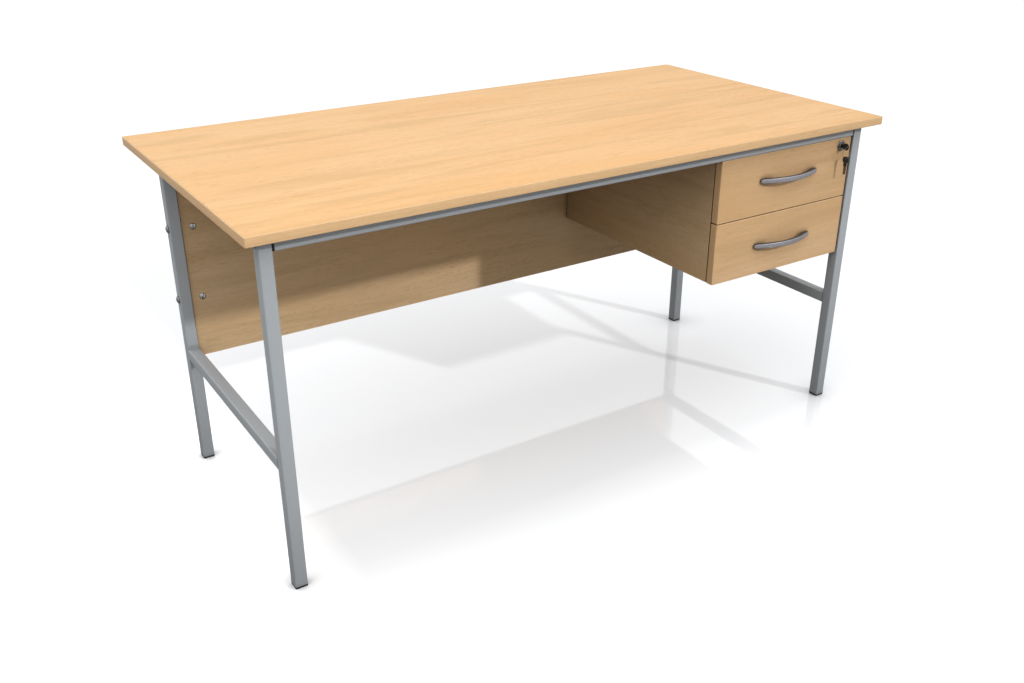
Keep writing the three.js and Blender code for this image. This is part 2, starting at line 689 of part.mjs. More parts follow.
// A key in the plane of Y and Z, with its head's centre at the origin and its blade along +Y.
function key() {
  const radius = KEY_HEAD_DIAMETER / 2;
  const head = new THREE.Shape();
  head.absarc(0, 0, radius, 0, 2 * Math.PI, false);
  const hole = new THREE.Path();
  hole.absarc(-KEY_HOLE_OFFSET, 0, KEY_HOLE_DIAMETER / 2, 0, 2 * Math.PI, true);
  head.holes.push(hole);
  const disc = alongX(extruded(head, KEY_HEAD_THICKNESS, KEY_STEPS));
  disc.translate(-KEY_HEAD_THICKNESS / 2, 0, 0);
  const start = radius - BLADE_OVERLAP;
  const tip = radius + BLADE_LENGTH;
  const half = BLADE_WIDTH / 2;
  const blade = new THREE.Shape();
  blade.moveTo(start, -half);
  blade.lineTo(tip - BLADE_TIP, -half);
  blade.lineTo(tip, -half * BLADE_POINT);
  blade.lineTo(tip, half * BLADE_POINT);
  blade.lineTo(tip - BLADE_TIP, half);
  blade.lineTo(start, half);
  const strip = alongX(extruded(blade, BLADE_THICKNESS)).translate(-BLADE_THICKNESS / 2, 0, 0);
  return joined([disc, strip]);
}

function keyRing() {
  return new THREE.TorusGeometry(RING_RADIUS, RING_WIRE / 2, WIRE_STEPS, RING_STEPS).rotateX(Math.PI / 2);
}

function lock() {
  const group = at(new THREE.Group(), LOCK_X, FRONT_FACE_Y, LOCK_Z);
  const holeY = -KEY_HEAD_REACH - KEY_HOLE_OFFSET;
  group.add(piece('lock_housing', lockHousing(), CHROME));
  group.add(piece('lock_plug', lockPlug(), CHROME));
  group.add(piece('lock_cam', lockCam(), ZINC));
  group.add(at(piece('key', key(), BLACK_PLASTIC), 0, -KEY_HEAD_REACH, 0));
  group.add(at(piece('key_ring', keyRing(), CHROME), 0, holeY, -RING_RADIUS));
  const spare = piece('spare_key', key(), BLACK_PLASTIC);
  spare.rotation.x = -Math.PI / 2;
  group.add(at(spare, 0, holeY, -2 * RING_RADIUS - KEY_HOLE_OFFSET));
  return group;
}

// ---------- the whole desk ----------

function desk() {
  const upperFront = FRONT_UNDERSIDE + FRONT_HEIGHT + FRONT_SPLIT;
  const lockBore = LOCK_BARREL_DIAMETER + 2 * GAP;
  const lockHole = rodY(lockBore, FRONT_FACE_Y - BOARD, FRONT_FACE_Y + 2 * BOARD, LOCK_X, LOCK_Z);
  const group = new THREE.Group();
  group.add(desktop());
  group.add(endFrame('left', -1));
  group.add(endFrame('right', 1));
  group.add(longRail('front', FRONT_LEG_Y));
  group.add(longRail('back', BACK_LEG_Y));
  group.add(modestyPanel());
  group.add(pedestal());
  group.add(runners('upper', UPPER_BOX_UNDERSIDE));
  group.add(runners('lower', LOWER_BOX_UNDERSIDE));
  group.add(drawer('drawer_upper', upperFront, UPPER_BOX_UNDERSIDE, UPPER_HANDLE_Z, [lockHole]));
  group.add(drawer('drawer_lower', FRONT_UNDERSIDE, LOWER_BOX_UNDERSIDE, LOWER_HANDLE_Z, []));
  group.add(lock());
  return group;
}

export default desk();
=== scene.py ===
"""The looks of a teacher's desk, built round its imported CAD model.

Metres, +Z up; the sitter's side is -Y and the drawers are at +X.
"""

import math
import random

import bmesh
import bpy
from mathutils import Matrix, Vector


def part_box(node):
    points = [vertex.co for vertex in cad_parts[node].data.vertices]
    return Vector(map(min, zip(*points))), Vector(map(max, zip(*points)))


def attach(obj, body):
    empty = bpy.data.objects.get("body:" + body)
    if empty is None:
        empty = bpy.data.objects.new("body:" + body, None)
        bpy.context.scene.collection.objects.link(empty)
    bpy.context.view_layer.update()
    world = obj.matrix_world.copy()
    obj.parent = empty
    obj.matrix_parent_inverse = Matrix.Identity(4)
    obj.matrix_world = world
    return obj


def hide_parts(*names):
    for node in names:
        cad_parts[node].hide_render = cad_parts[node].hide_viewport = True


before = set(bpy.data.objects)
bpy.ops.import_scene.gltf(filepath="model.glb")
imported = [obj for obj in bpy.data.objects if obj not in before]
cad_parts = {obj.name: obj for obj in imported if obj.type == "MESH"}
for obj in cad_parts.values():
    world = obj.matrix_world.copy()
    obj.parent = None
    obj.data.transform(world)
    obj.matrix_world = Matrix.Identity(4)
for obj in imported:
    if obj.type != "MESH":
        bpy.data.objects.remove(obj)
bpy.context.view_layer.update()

MM = 0.001
X, Y, Z = Vector((1, 0, 0)), Vector((0, 1, 0)), Vector((0, 0, 1))
AXES = {"x": 0, "y": 1, "z": 2}
UNITS = {"x": X, "y": Y, "z": Z}
SIDES = {"left": -1, "right": 1}
LEVELS = ("upper", "lower")
GAP = 0.3 * MM

ON_AXIS = 1e-7
CORNER_STEPS = 6
QUARTER_TURN = math.pi / 2
FULL_TURN = 2 * math.pi
SHARP_ANGLE = math.radians(40)  # edges sharper than this are eased on CAD nodes

# painted shade that darkens colours in creases and hollows: its reach and its depth
WOOD_CREASE = (12 * MM, 0.85)
PAINT_CREASE = (14 * MM, 0.9)
METAL_CREASE = (10 * MM, 0.9)
TUBE_HOLLOW = (450 * MM, 0.7)
PANEL_HOLLOW = (450 * MM, 0.72)
SIDE_HOLLOW = (450 * MM, 0.9)
FRONT_HOLLOW = (90 * MM, 0.75)
PAINTED_SHADE_COLOUR = (0.004, 0.003, 0.002)

# beech-effect laminate and its edging
# tints of the one laminate per piece: painted light on the top, painted shade on the fronts, panel and
# pedestal sides
TOP_PAINTED_LIGHT = (1.03, 1.0, 0.955)
FRONT_PAINTED_SHADE = (0.9, 0.91, 0.94)
PANEL_PAINTED_SHADE = (0.93, 0.99, 1.06)
SIDE_PAINTED_SHADE = (0.85, 0.92, 0.99)
BEECH_PINK = (0.82, 0.505, 0.245)
BEECH_PALE = (0.85, 0.57, 0.315)
BEECH_BAND = (0.67, 0.43, 0.215)
BEECH_STREAK = (0.72, 0.43, 0.2)
BEECH_FLECK = (0.5, 0.285, 0.12)
BEECH_PORE = (0.5, 0.3, 0.14)
# edging colour darkened as painted shade for the gaps where these edges show
BEECH_EDGE_AND_GAP_SHADE = (0.52, 0.31, 0.135)
EDGING_PALE = (0.82, 0.54, 0.285)
EDGING_STREAK = (0.75, 0.475, 0.235)
EDGING_FLECK = (0.5, 0.28, 0.12)
FOIL_PALE = (0.74, 0.72, 0.68)
FOIL_FIBRE = (0.69, 0.665, 0.62)

# board edges
EDGING_THICKNESS = 2 * MM
EDGING_ROUND = 1.4 * MM
EDGING_CORNER = 3 * MM
EDGING_STEPS = 5
FRONT_ROUND = 0.9 * MM
BOARD_ROUND = 0.2 * MM
SHEET_ROUND = 0.25 * MM
THIN_ROUND = 0.3 * MM

# tube, its welds and its plastic caps
TUBE_HALF = 12.5 * MM
TUBE_ROUND = 2.5 * MM
TUBE_WALL = 1.5 * MM
TUBE_LIP = 0.25 * MM
TUBE_INNER_ROUND = 0.8 * MM
WELD_RADIUS = 1.7 * MM
WELD_TIP = 0.15 * MM
WELD_MARGIN = 2.5 * MM
WELD_HALF_PITCH = 1.5 * MM
WELD_RIPPLE = 0.13
WELD_UNEVENNESS = 0.05
WELD_STEPS = 40
WELD_AROUND = 10
WELD_SEEDS = {"left": 11, "right": 29}
CAP_RIM = {"z": 4 * MM, "x": 3 * MM}
CAP_SPIGOT = 10.6 * MM
CAP_CORNER = 0.6 * MM
CAP_RIBS = 3
RIB_PITCH = 5 * MM
RIB_WIDTH = 1.2 * MM
RIB_DEPTH = 0.5 * MM

# bolts, nuts and screws
SHANK_RADIUS = 3 * MM
THREAD_PITCH = 1 * MM
THREAD_DEPTH = 0.45 * MM
HEAD_STEPS = 8
SOCKET_RADIUS = 2.3 * MM
BOLT_HOLE_RADIUS = 3.3 * MM
NUT_CLEARANCE = 0.7 * MM
NUT_CHAMFER = 0.5 * MM
NUT_SLANT = {"upper": 5, "lower": 21}
NUT_DOME = {"left": 0.9 * MM, "right": 0.15 * MM}  # the right-hand ones lie behind the pedestal
NUT_SLOT = (Vector((-0.9, -3, -8)) * MM, Vector((0.9, 2.2, 8)) * MM)
DOME_STEPS = 6
SCREW_RIM = 0.35  # upright rim of a screw's head, as a share of its height
RUNNER_SCREW = (3.2 * MM, 1.0 * MM)
RUNNER_SCREW_PLACES = (0.12, 0.5, 0.88)  # shares of the runner's length
RUNNER_SCREW_HEIGHT = 17.5 * MM
HANDLE_SCREW = (4 * MM, 2.4 * MM)
HANDLE_SCREW_INSET = 6 * MM

# rollers
SHEET = 1.2 * MM
ROLLER_RADIUS = 5 * MM
ROLLER_HALF = 2.9 * MM
ROLLER_CHAMFER = 0.5 * MM
ROLLER_BORE = 1.7 * MM
RIVET_RADIUS = 1.5 * MM
RIVET_HEAD = 2.6 * MM
TRACK_WIDTH = 10 * MM
TRACK_MIDDLE = 4.4 * MM
TRACK_HEIGHT = 20.6 * MM
REAR_ROLLER = Vector((0, -12, -0.2)) * MM
CABINET_ROLLER_SHIFT = 0.4 * MM
CABINET_ROLLER_INSET = 8 * MM

# bow handles
HANDLE_END = 5 * MM
HANDLE_THICKNESS = 7 * MM
HANDLE_FOOT_NEAR = 13 * MM
HANDLE_FOOT_FAR = 3 * MM
HANDLE_STANDOFF = 1.2 * MM
HANDLE_BLUNT = 1.6 * MM
HANDLE_TAPER = 7 * MM
HANDLE_SQUARENESS = 2 / 6
HANDLE_STEPS = 44
HANDLE_AROUND = 28

# lock and keys
LOCK_HOLE_RADIUS = 9.7 * MM
ROSETTE_RADIUS = 12.5 * MM
ROSETTE_THICKNESS = 2 * MM
ROSETTE_ROUND = 2.2 * MM
ROSETTE_RIM = 0.5 * MM
ROSETTE_STEPS = 6
BARREL_RADIUS = 9.5 * MM
LOCK_NUT_RADIUS = 12 * MM
LOCK_NUT = (18.3 * MM, 21.3 * MM)
FACE_GAP = 0.05 * MM
PLUG_RADIUS = 6.5 * MM
PLUG_CLEARANCE = 0.3 * MM
PLUG_TAIL_RADIUS = 3 * MM
PLUG_TAIL = 4 * MM
KEYWAY_HALF = Vector((1.2, 0, 4.2)) * MM
KEYWAY_DEPTH = 22.6 * MM
KEYWAY_FLARE = 1.25
KEYWAY_FLARE_DEPTH = 0.5 * MM
KEY_HEAD_RADIUS = 8 * MM
KEY_HEAD_HALF = 1.3 * MM
KEY_HEAD_ROUND = 0.5 * MM
KEY_HOLE_RADIUS = 1.7 * MM
KEY_HOLE_OFFSET = 4 * MM
KEY_NECK_HALF = 4.5 * MM
KEY_NECK_LENGTH = 6 * MM
KEY_SHOULDER = 2.2 * MM
KEY_HEAD_STEPS = 40
KEY_DISH = (3.6 * MM, 0.8 * MM)
KEY_DISH_PLACE = Vector((0, 1.8, 0)) * MM
KEY_DISH_REACH = 1.5 * MM
BLADE_HALF = Vector((1.0, 0, 3.7)) * MM
BLADE_LENGTH = 26 * MM
BLADE_CUTS = (1.1, 2.2, 0.7, 1.7, 1.3)
CUT_PITCH = 3.1 * MM
GROOVE_CORNER = Vector((-0.35, 14, -1.6)) * MM
GROOVE_SIZE = Vector((0.7, 24, 1.3)) * MM
RING_WIRE = 0.42 * MM
RING_INSET = 0.7 * MM
RING_TURNS = 2.05
RING_START = 1.2
RING_STEPS = 150
RING_AROUND = 10

# camera
CAMERA_PLACE = Vector((-1.2178, -1.8738, 1.2653))
CAMERA_YAW = math.radians(32.78)
CAMERA_PITCH = math.radians(-25.55)
CAMERA_LENS = 36.14
CAMERA_SENSOR = 36

# light
DOME_LIGHT = 0.48
OVERHEAD_LIGHT = 0.46
LEFT_LIGHT = 1.5
OVERHEAD_TIGHTNESS = 4
REFLECTED_WALLS = 0.95
SOFTBOX_POWER = 10
SOFTBOX_SIZE = (2.4, 1.5)
SOFTBOX_PLACE = Vector((-0.8, -1.1, 2.2))
SOFTBOX_AIM = Vector((0.0, -0.1, 0.5))
KEY_LIGHT = 1.25
KEY_DIRECTION = Vector((-0.49, 1.0, -0.61))
KEY_SOFTNESS = math.radians(2.2)
# painted light and shade on the floor: where its glow rises, how strong it is, and its contact shade
# round the feet
FLOOR_FADE_LEFT = (0.58, 0.76)
FLOOR_FADE_FRONT = (0.34, 0.6)
FLOOR_GLOW = (0.17, 0.7)
FLOOR_CONTACT = 90 * MM
FLOOR_CONTACT_SHADE = 0.45
FLOOR_CONTACT_POWER = 3.0
FLOOR_HALF_SIZE = 12
FLOOR_DROP = 0.2 * MM
FLOOR_BOUNCED = (0.1, 0.1, 0.1)
FLOOR_SHOWN = (0.91, 0.935, 0.965)


# ---------- shader helpers ----------

class Nodes:
    """Short ways to add and link the nodes of a tree."""

    def __init__(self, tree):
        self.tree = tree

    def add(self, kind, **settings):
        node = self.tree.nodes.new(kind)
        for key, value in settings.items():
            setattr(node, key, value)
        return node

    def plug(self, value, socket):
        if isinstance(value, bpy.types.NodeSocket):
            self.tree.links.new(value, socket)
        else:
            socket.default_value = value

    def parts(self, vector):
        """The X, Y and Z outputs of a vector."""
        node = self.add("ShaderNodeSeparateXYZ")
        self.plug(vector, node.inputs["Vector"])
        return node.outputs

    def range(self, value, low, high, to_low=0.0, to_high=1.0):
        node = self.add("ShaderNodeMapRange")
        node.clamp = True
        keys = ("Value", "From Min", "From Max", "To Min", "To Max")
        for key, number in zip(keys, (value, low, high, to_low, to_high)):
            self.plug(number, node.inputs[key])
        return node.outputs["Result"]

    def mix(self, factor, first, second):
        node = self.add("ShaderNodeMix", data_type="RGBA")
        self.plug(factor, node.inputs["Factor"])
        self.plug(first, node.inputs["A"])
        self.plug(second, node.inputs["B"])
        return node.outputs["Result"]

    def math(self, operation, first, second=0.0):
        node = self.add("ShaderNodeMath", operation=operation)
        self.plug(first, node.inputs[0])
        self.plug(second, node.inputs[1])
        return node.outputs["Value"]

    def times(self, first, second):
        return self.math("MULTIPLY", first, second)

    def openness(self, reach):
        """1 in the open, falling to 0 where other faces stand nearer than the reach."""
        node = self.add("ShaderNodeAmbientOcclusion", samples=4)
        node.inputs["Distance"].default_value = reach
        return node.outputs["AO"]


class Shader(Nodes):
    """A new material and the inputs of its surface."""

    def __init__(self, name):
        self.material = bpy.data.materials.new(name)
        self.material.use_nodes = True
        super().__init__(self.material.node_tree)
        self.surface = self.tree.nodes["Principled BSDF"]
        self.coordinates = self.tree.nodes.new("ShaderNodeTexCoord").outputs["Object"]

    def set(self, **inputs):
        for key, value in inputs.items():
            self.plug(value, self.surface.inputs[key.replace("_", " ")])

    def stretched(self, scale):
        mapping = self.add("ShaderNodeMapping")
        self.plug(self.coordinates, mapping.inputs["Vector"])
        mapping.inputs["Scale"].default_value = scale
        return mapping.outputs["Vector"]

    def noise(self, scale, detail=2.0, distortion=0.0, roughness=0.5):
        """Noise with that many blotches to the metre along each axis."""
        node = self.add("ShaderNodeTexNoise")
        self.plug(self.stretched(scale), node.inputs["Vector"])
        node.inputs["Scale"].default_value = 1.0
        node.inputs["Detail"].default_value = detail
        node.inputs["Distortion"].default_value = distortion
        node.inputs["Roughness"].default_value = roughness
        return node.outputs["Fac"]

    def facing(self, axis):
        """How squarely a face looks along an axis, either way."""
        normal = self.add("ShaderNodeNewGeometry").outputs["Normal"]
        return self.math("ABSOLUTE", self.parts(normal)[axis.upper()])

    def shaded(self, body, reach, depth):
        """A colour with painted shade: it darkens in creases nearer than a reach, by up to a depth."""
        share = self.range(self.openness(reach), 0.0, 0.9, depth, 0.0)
        return self.mix(share, body, colour(*PAINTED_SHADE_COLOUR))

    def bump(self, height, depth, strength=1.0):
        node = self.add("ShaderNodeBump")
        self.plug(height, node.inputs["Height"])
        node.inputs["Distance"].default_value = depth
        node.inputs["Strength"].default_value = strength
        self.plug(node.outputs["Normal"], self.surface.inputs["Normal"])


def colour(r, g, b):
    return (r, g, b, 1.0)


def scaled(base, factor):
    return colour(*(factor * c for c in base))


def along(axis, lengthwise, crosswise):
    """Blotches to the metre, few along one axis and many across it."""
    scale = [crosswise] * 3
    scale[AXES[axis]] = lengthwise
    return tuple(scale)


# ---------- materials ----------

def laminate(name, grain, edge_axis=None, shade=(1, 1, 1), hollow=None, gloss=0.14, flecked=0.45):
    """Beech-effect laminate with its grain along an axis. Shade multiplies its colour per piece, as
    painted light or shade for how each piece is lit.
    Faces across edge_axis are edging, darkened as painted shade for the gaps they show in.
    Hollow is a reach and a depth for painted shade that darkens the colour where other pieces stand
    close."""
    def tone(base):
        return colour(*(c * k for c, k in zip(base, shade)))

    s = Shader(name)
    tint = s.range(s.noise(along(grain, 0.8, 4.5), 2, 0.8), 0.36, 0.62)
    bands = s.range(s.noise(along(grain, 1.7, 17), 3.5, 1.2), 0.47, 0.66)
    streaks = s.range(s.noise(along(grain, 7, 150), 3, 0.8), 0.36, 0.68)
    flecks = s.range(s.noise(along(grain, 48, 460), 2.5, 0.7), 0.52, 0.66)
    fleck_patches = s.range(s.noise(along(grain, 4, 26), 2), 0.36, 0.62, 0.3, 1.0)
    pores = s.range(s.noise(along(grain, 150, 1500), 2), 0.5, 0.72)
    body = s.mix(tint, tone(BEECH_PINK), tone(BEECH_PALE))
    body = s.mix(s.times(bands, 0.56), body, tone(BEECH_BAND))
    body = s.mix(s.times(streaks, 0.3), body, tone(BEECH_STREAK))
    body = s.mix(s.times(s.times(flecks, fleck_patches), flecked), body, tone(BEECH_FLECK))
    body = s.mix(s.times(pores, 0.18), body, tone(BEECH_PORE))
    # edge faces take the edging colour, darkened as painted shade in the gaps
    if edge_axis:
        body = s.mix(s.range(s.facing(edge_axis), 0.8, 0.95), body, tone(BEECH_EDGE_AND_GAP_SHADE))
    # painted shade: the colour darkens where other pieces stand close and in creases
    if hollow:
        body = s.shaded(body, *hollow)
    satin = s.range(s.noise(along(grain, 12, 90), 3), 0.3, 0.7, 0.4, 0.5)
    s.set(Base_Color=s.shaded(body, *WOOD_CREASE), Roughness=satin, Specular_IOR_Level=gloss)
    s.bump(s.math("ADD", flecks, s.times(pores, 0.6)), 0.05 * MM, 0.35)
    return s.material


def edging(name, grain, shade=1.0):
    """Plastic edging printed to match the laminate, a little plainer and darker."""
    s = Shader(name)
    streaks = s.range(s.noise(along(grain, 9, 420), 3, 0.4), 0.35, 0.68)
    flecks = s.range(s.noise(along(grain, 60, 900), 2), 0.55, 0.72)
    body = s.mix(streaks, scaled(EDGING_PALE, shade), scaled(EDGING_STREAK, shade))
    body = s.mix(s.times(flecks, 0.3), body, colour(*EDGING_FLECK))
    satin = s.range(s.noise(along(grain, 40, 300), 2), 0.3, 0.7, 0.36, 0.46)
    # painted shade in creases darkens the edging colour
    s.set(Base_Color=s.shaded(body, *WOOD_CREASE), Roughness=satin, Specular_IOR_Level=0.45)
    s.bump(streaks, 0.03 * MM, 0.3)
    return s.material


def powder_coat(name, base, roughness, metallic):
    """Powder paint: a fine orange-peel skin with metal flake and faint rubbed patches."""
    s = Shader(name)
    flake = s.range(s.noise((2600, 2600, 2600), 1), 0.35, 0.7)
    cloud = s.range(s.noise((9, 9, 9), 3), 0.3, 0.7)
    body = s.mix(flake, scaled(base, 0.92), scaled(base, 1.1))
    body = s.mix(s.times(cloud, 0.25), body, scaled(base, 1.06))
    # painted shade: the colour darkens under the desktop, near the floor and in creases
    s.set(Base_Color=s.shaded(s.shaded(body, *TUBE_HOLLOW), *PAINT_CREASE), Metallic=metallic)
    s.set(Roughness=s.range(cloud, 0, 1, roughness - 0.04, roughness + 0.05))
    s.bump(s.noise((620, 620, 620), 2), 0.06 * MM, 0.3)
    return s.material


def moulded_plastic(name, base, roughness=0.5):
    """Moulded plastic with a fine grain and faintly paler clouds."""
    s = Shader(name)
    grain = s.noise((1400, 1400, 1400), 3)
    cloud = s.range(s.noise((60, 60, 60), 2), 0.3, 0.7)
    s.set(Base_Color=s.mix(cloud, colour(*base), colour(*(1.35 * c + 0.002 for c in base))))
    s.set(Roughness=s.range(cloud, 0, 1, roughness - 0.06, roughness + 0.08))
    s.bump(grain, 0.05 * MM, 0.4)
    return s.material


def plated(name, base, roughness, brushed=None, metallic=1.0, flanks=None):
    """Plated or brushed metal. Brush marks run along the axis given, or round patches show.
    Flanks is the share of the colour left on faces that look up or down, as painted shade on them."""
    s = Shader(name)
    marks = along(brushed, 25, 2200) if brushed else (500, 500, 500)
    lines = s.noise(marks, 3)
    cloud = s.range(s.noise((120, 120, 120), 3), 0.3, 0.7)
    body = s.mix(cloud, colour(*base), scaled(base, 0.88))
    # painted shade: faces that look up or down keep only the flanks share of the colour
    if flanks:
        body = s.mix(s.range(s.facing("z"), 0.45, 0.8), body, scaled(base, flanks))
    # painted shade in creases darkens the colour
    s.set(Base_Color=s.shaded(body, *METAL_CREASE), Metallic=metallic)
    s.set(Roughness=s.range(lines, 0.3, 0.7, roughness * 0.8, roughness * 1.25))
    s.bump(lines, 0.012 * MM, 0.25)
    return s.material


def foil_board(name):
    """Off-white foil on thin board, with a faint fibre."""
    s = Shader(name)
    fibre = s.range(s.noise((60, 900, 900), 3), 0.35, 0.7)
    s.set(Base_Color=s.mix(fibre, colour(*FOIL_PALE), colour(*FOIL_FIBRE)))
    s.set(Roughness=s.range(fibre, 0, 1, 0.5, 0.62))
    s.bump(fibre, 0.03 * MM, 0.3)
    return s.material


BEECH_TOP = laminate("beech_top_grain_x", "x", shade=TOP_PAINTED_LIGHT, gloss=0.05, flecked=0.38)
BEECH_FRONT = laminate("beech_front_grain_x", "x", shade=FRONT_PAINTED_SHADE, hollow=FRONT_HOLLOW, flecked=0.25)
BEECH_PANEL = laminate("beech_panel_grain_x", "x", shade=PANEL_PAINTED_SHADE, hollow=PANEL_HOLLOW, flecked=0.42)
BEECH_Y = laminate("beech_grain_y", "y", edge_axis="y", shade=SIDE_PAINTED_SHADE, hollow=SIDE_HOLLOW)
BEECH_SHELF = laminate("beech_shelf_grain_x", "x", edge_axis="y")
EDGING_X = edging("edging_grain_x", "x")
EDGING_Y = edging("edging_grain_y", "y")
# the upright end strips are darkened to 0.86 as painted shade on these side-facing edges
EDGING_Z = edging("edging_grain_z", "z", 0.86)
SILVER = powder_coat("silver_powder_coat", (0.465, 0.495, 0.52), 0.45, 0.1)
RUNNER_WHITE = powder_coat("runner_epoxy", (0.7, 0.71, 0.69), 0.36, 0.05)
BLACK = moulded_plastic("black_plastic", (0.011, 0.011, 0.012))
NYLON = moulded_plastic("white_nylon", (0.72, 0.71, 0.67), 0.4)
ZINC = plated("bright_zinc", (0.66, 0.655, 0.64), 0.32)
DULL_ZINC = plated("dull_zinc", (0.34, 0.34, 0.335), 0.36)
CHROME = plated("chrome_plate", (0.42, 0.41, 0.4), 0.16)
# nickel plate, its colour darkened and warmed as painted reflection of the wood and painted shade
ROSETTE = plated("rosette_nickel_and_painted_reflection", (0.3, 0.275, 0.24), 0.2)
KEY_STEEL = plated("key_nickel", (0.2, 0.19, 0.175), 0.27)
# flanks: painted shade on the handle's top and bottom faces
SATIN = plated("satin_handle", (0.41, 0.405, 0.43), 0.42, "x", 0.55, flanks=0.2)
FOIL = foil_board("foil_board")


# ---------- mesh helpers ----------

def mesh_of(name, bm):
    """A mesh from a bmesh, which is then freed."""
    mesh = bpy.data.meshes.new(name)
    bm.to_mesh(mesh)
    bm.free()
    return mesh


def linked(name, data):
    """A new object of the scene."""
    item = bpy.data.objects.new(name, data)
    bpy.context.scene.collection.objects.link(item)
    return item


def finished(name, bm, materials, body, replaces=(), angle=32):
    """Turns a bmesh into a named piece that rides on a body."""
    bmesh.ops.recalc_face_normals(bm, faces=bm.faces)
    piece = linked(name, mesh_of(name, bm))
    for material in materials if isinstance(materials, list) else [materials]:
        piece.data.materials.append(material)
    piece.data.shade_smooth()
    piece.data.set_sharp_from_angle(angle=math.radians(angle))
    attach(piece, body)
    if replaces:
        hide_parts(*replaces)
    return piece


def block(low, high):
    bm = bmesh.new()
    place = Matrix.Translation((low + high) / 2) @ Matrix.Diagonal((*(high - low), 1))
    bmesh.ops.create_cube(bm, size=1, matrix=place)
    return bm


def bridge(bm, loops, closed=False, capped=True):
    """Joins equal loops of vertices with quads, and closes the two ends or joins last to first."""
    count = len(loops[0])
    pairs = list(zip(loops, loops[1:]))
    if closed:
        pairs.append((loops[-1], loops[0]))
    for first, second in pairs:
        for i in range(count):
            j = (i + 1) % count
            corners = [first[i], first[j], second[j], second[i]]
            unique = list(dict.fromkeys(corners))
            if len(unique) > 2:
                bm.faces.new(unique)
    if capped and not closed:
        bm.faces.new(loops[0][::-1])
        bm.faces.new(loops[-1])


def rounded_outline(half_u, half_v, radius):
    """Points round a rectangle with round corners, centred on the origin."""
    points = []
    for corner in range(4):
        turn = corner * QUARTER_TURN
        u = (half_u - radius) * (1 if corner in (0, 3) else -1)
        v = (half_v - radius) * (1 if corner in (0, 1) else -1)
        for step in range(CORNER_STEPS + 1):
            angle = turn + step / CORNER_STEPS * QUARTER_TURN
            points.append((u + radius * math.cos(angle), v + radius * math.sin(angle)))
    return points


def placed(axis, centre, u, v, w):
    """A point from (u, v) across an axis and w along it, in a right-handed order."""
    order = {"x": (w, u, v), "y": (v, w, u), "z": (u, v, w)}[axis]
    return centre + Vector(order)


def turned(profile, centre, axis, segments):
    """A closed or on-axis profile of (radius, distance along the axis) turned round the axis."""
    bm = bmesh.new()
    loops = []
    for radius, reach in profile:
        if radius < ON_AXIS:
            loops.append([bm.verts.new(placed(axis, centre, 0, 0, reach))] * segments)
            continue
        ring = []
        for step in range(segments):
            angle = FULL_TURN * step / segments
            u, v = radius * math.cos(angle), radius * math.sin(angle)
            ring.append(bm.verts.new(placed(axis, centre, u, v, reach)))
        loops.append(ring)
    bridge(bm, loops, closed=profile[0][0] >= ON_AXIS, capped=False)
    return bm


def cylinder(centre, axis, radius, length, segments=32):
    half = length / 2
    return turned([(0, -half), (radius, -half), (radius, half), (0, half)], centre, axis, segments)


def solid(bm):
    """A closed surface with every face turned outward."""
    bmesh.ops.recalc_face_normals(bm, faces=bm.faces)
    return bm


def carved(bm, cutters):
    """The solid in bm less each cutter."""
    carving = linked("carving", mesh_of("carving", bm))
    tools = []
    for cutter in cutters:
        tool = linked("cutter", mesh_of("cutter", solid(cutter)))
        modifier = carving.modifiers.new("cut", "BOOLEAN")
        modifier.operation = "DIFFERENCE"
        modifier.solver = "EXACT"
        modifier.object = tool
        tools.append(tool)
    evaluated = carving.evaluated_get(bpy.context.evaluated_depsgraph_get())
    result = bmesh.new()
    result.from_mesh(evaluated.to_mesh())
    for item in [*tools, carving]:
        bpy.data.objects.remove(item)
    return result


def box_of(node):
    """The low corner, high corner and centre of a CAD node."""
    low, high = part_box(node)
    return low, high, (low + high) / 2


def repaint(node, material, soften=0.0):
    """A CAD node whose shape is right, with a better material and its sharp edges eased."""
    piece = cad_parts[node]
    piece.data.materials.clear()
    piece.data.materials.append(material)
    if soften:
        bevel = piece.modifiers.new("eased_edges", "BEVEL")
        bevel.width = soften
        bevel.segments = 2
        bevel.limit_method = "ANGLE"
        bevel.angle_limit = SHARP_ANGLE


# ---------- boards ----------

def edging_ring(name, low, high, normal, rounding, body, replaces=()):
    """A strip round the four edges of a board, with its outer corners rounded over."""
    across = {"z": ("x", "y"), "y": ("z", "x")}[normal]
    centre = (low + high) / 2
    half = (high - low) / 2
    half_u, half_v, half_w = half[AXES[across[0]]], half[AXES[across[1]]], half[AXES[normal]]
    section = [(EDGING_THICKNESS, -half_w)]
    for sign in (-1, 1):
        for step in range(EDGING_STEPS + 1):
            angle = step / EDGING_STEPS * QUARTER_TURN
            if sign > 0:
                angle = QUARTER_TURN - angle
            inset = rounding * (1 - math.sin(angle))
            section.append((inset, sign * (half_w - rounding * (1 - math.cos(angle)))))
    section.append((EDGING_THICKNESS, half_w))
    bm = bmesh.new()
    loops = []
    for inset, w in section:
        outline = rounded_outline(half_u - inset, half_v - inset, EDGING_CORNER - inset)
        loops.append([bm.verts.new(placed(normal, centre, u, v, w)) for u, v in outline])
    bridge(bm, loops, closed=True)
    strips = {"x": EDGING_X, "y": EDGING_Y, "z": EDGING_Z}
    for face in bm.faces:
        middle = face.calc_center_median() - centre
        on_u_end = abs(middle[AXES[across[0]]]) > half_u - EDGING_CORNER
        face.material_index = 1 if on_u_end else 0
    finished(name, bm, [strips[axis] for axis in across], body, replaces)


def banded_board(node, name, material, normal, body, holes=()):
    """A laminated board with edging on its four edges, in place of a CAD board."""
    low, high, _ = box_of(node)
    inset = Vector([0 if axis == normal else EDGING_THICKNESS for axis in AXES])
    core = solid(block(low + inset, high - inset))
    if holes:
        core = carved(core, holes)
    finished(f"{name}_board", core, material, body, [node])
    edging_ring(f"{name}_edging", low, high, normal, FRONT_ROUND, body)


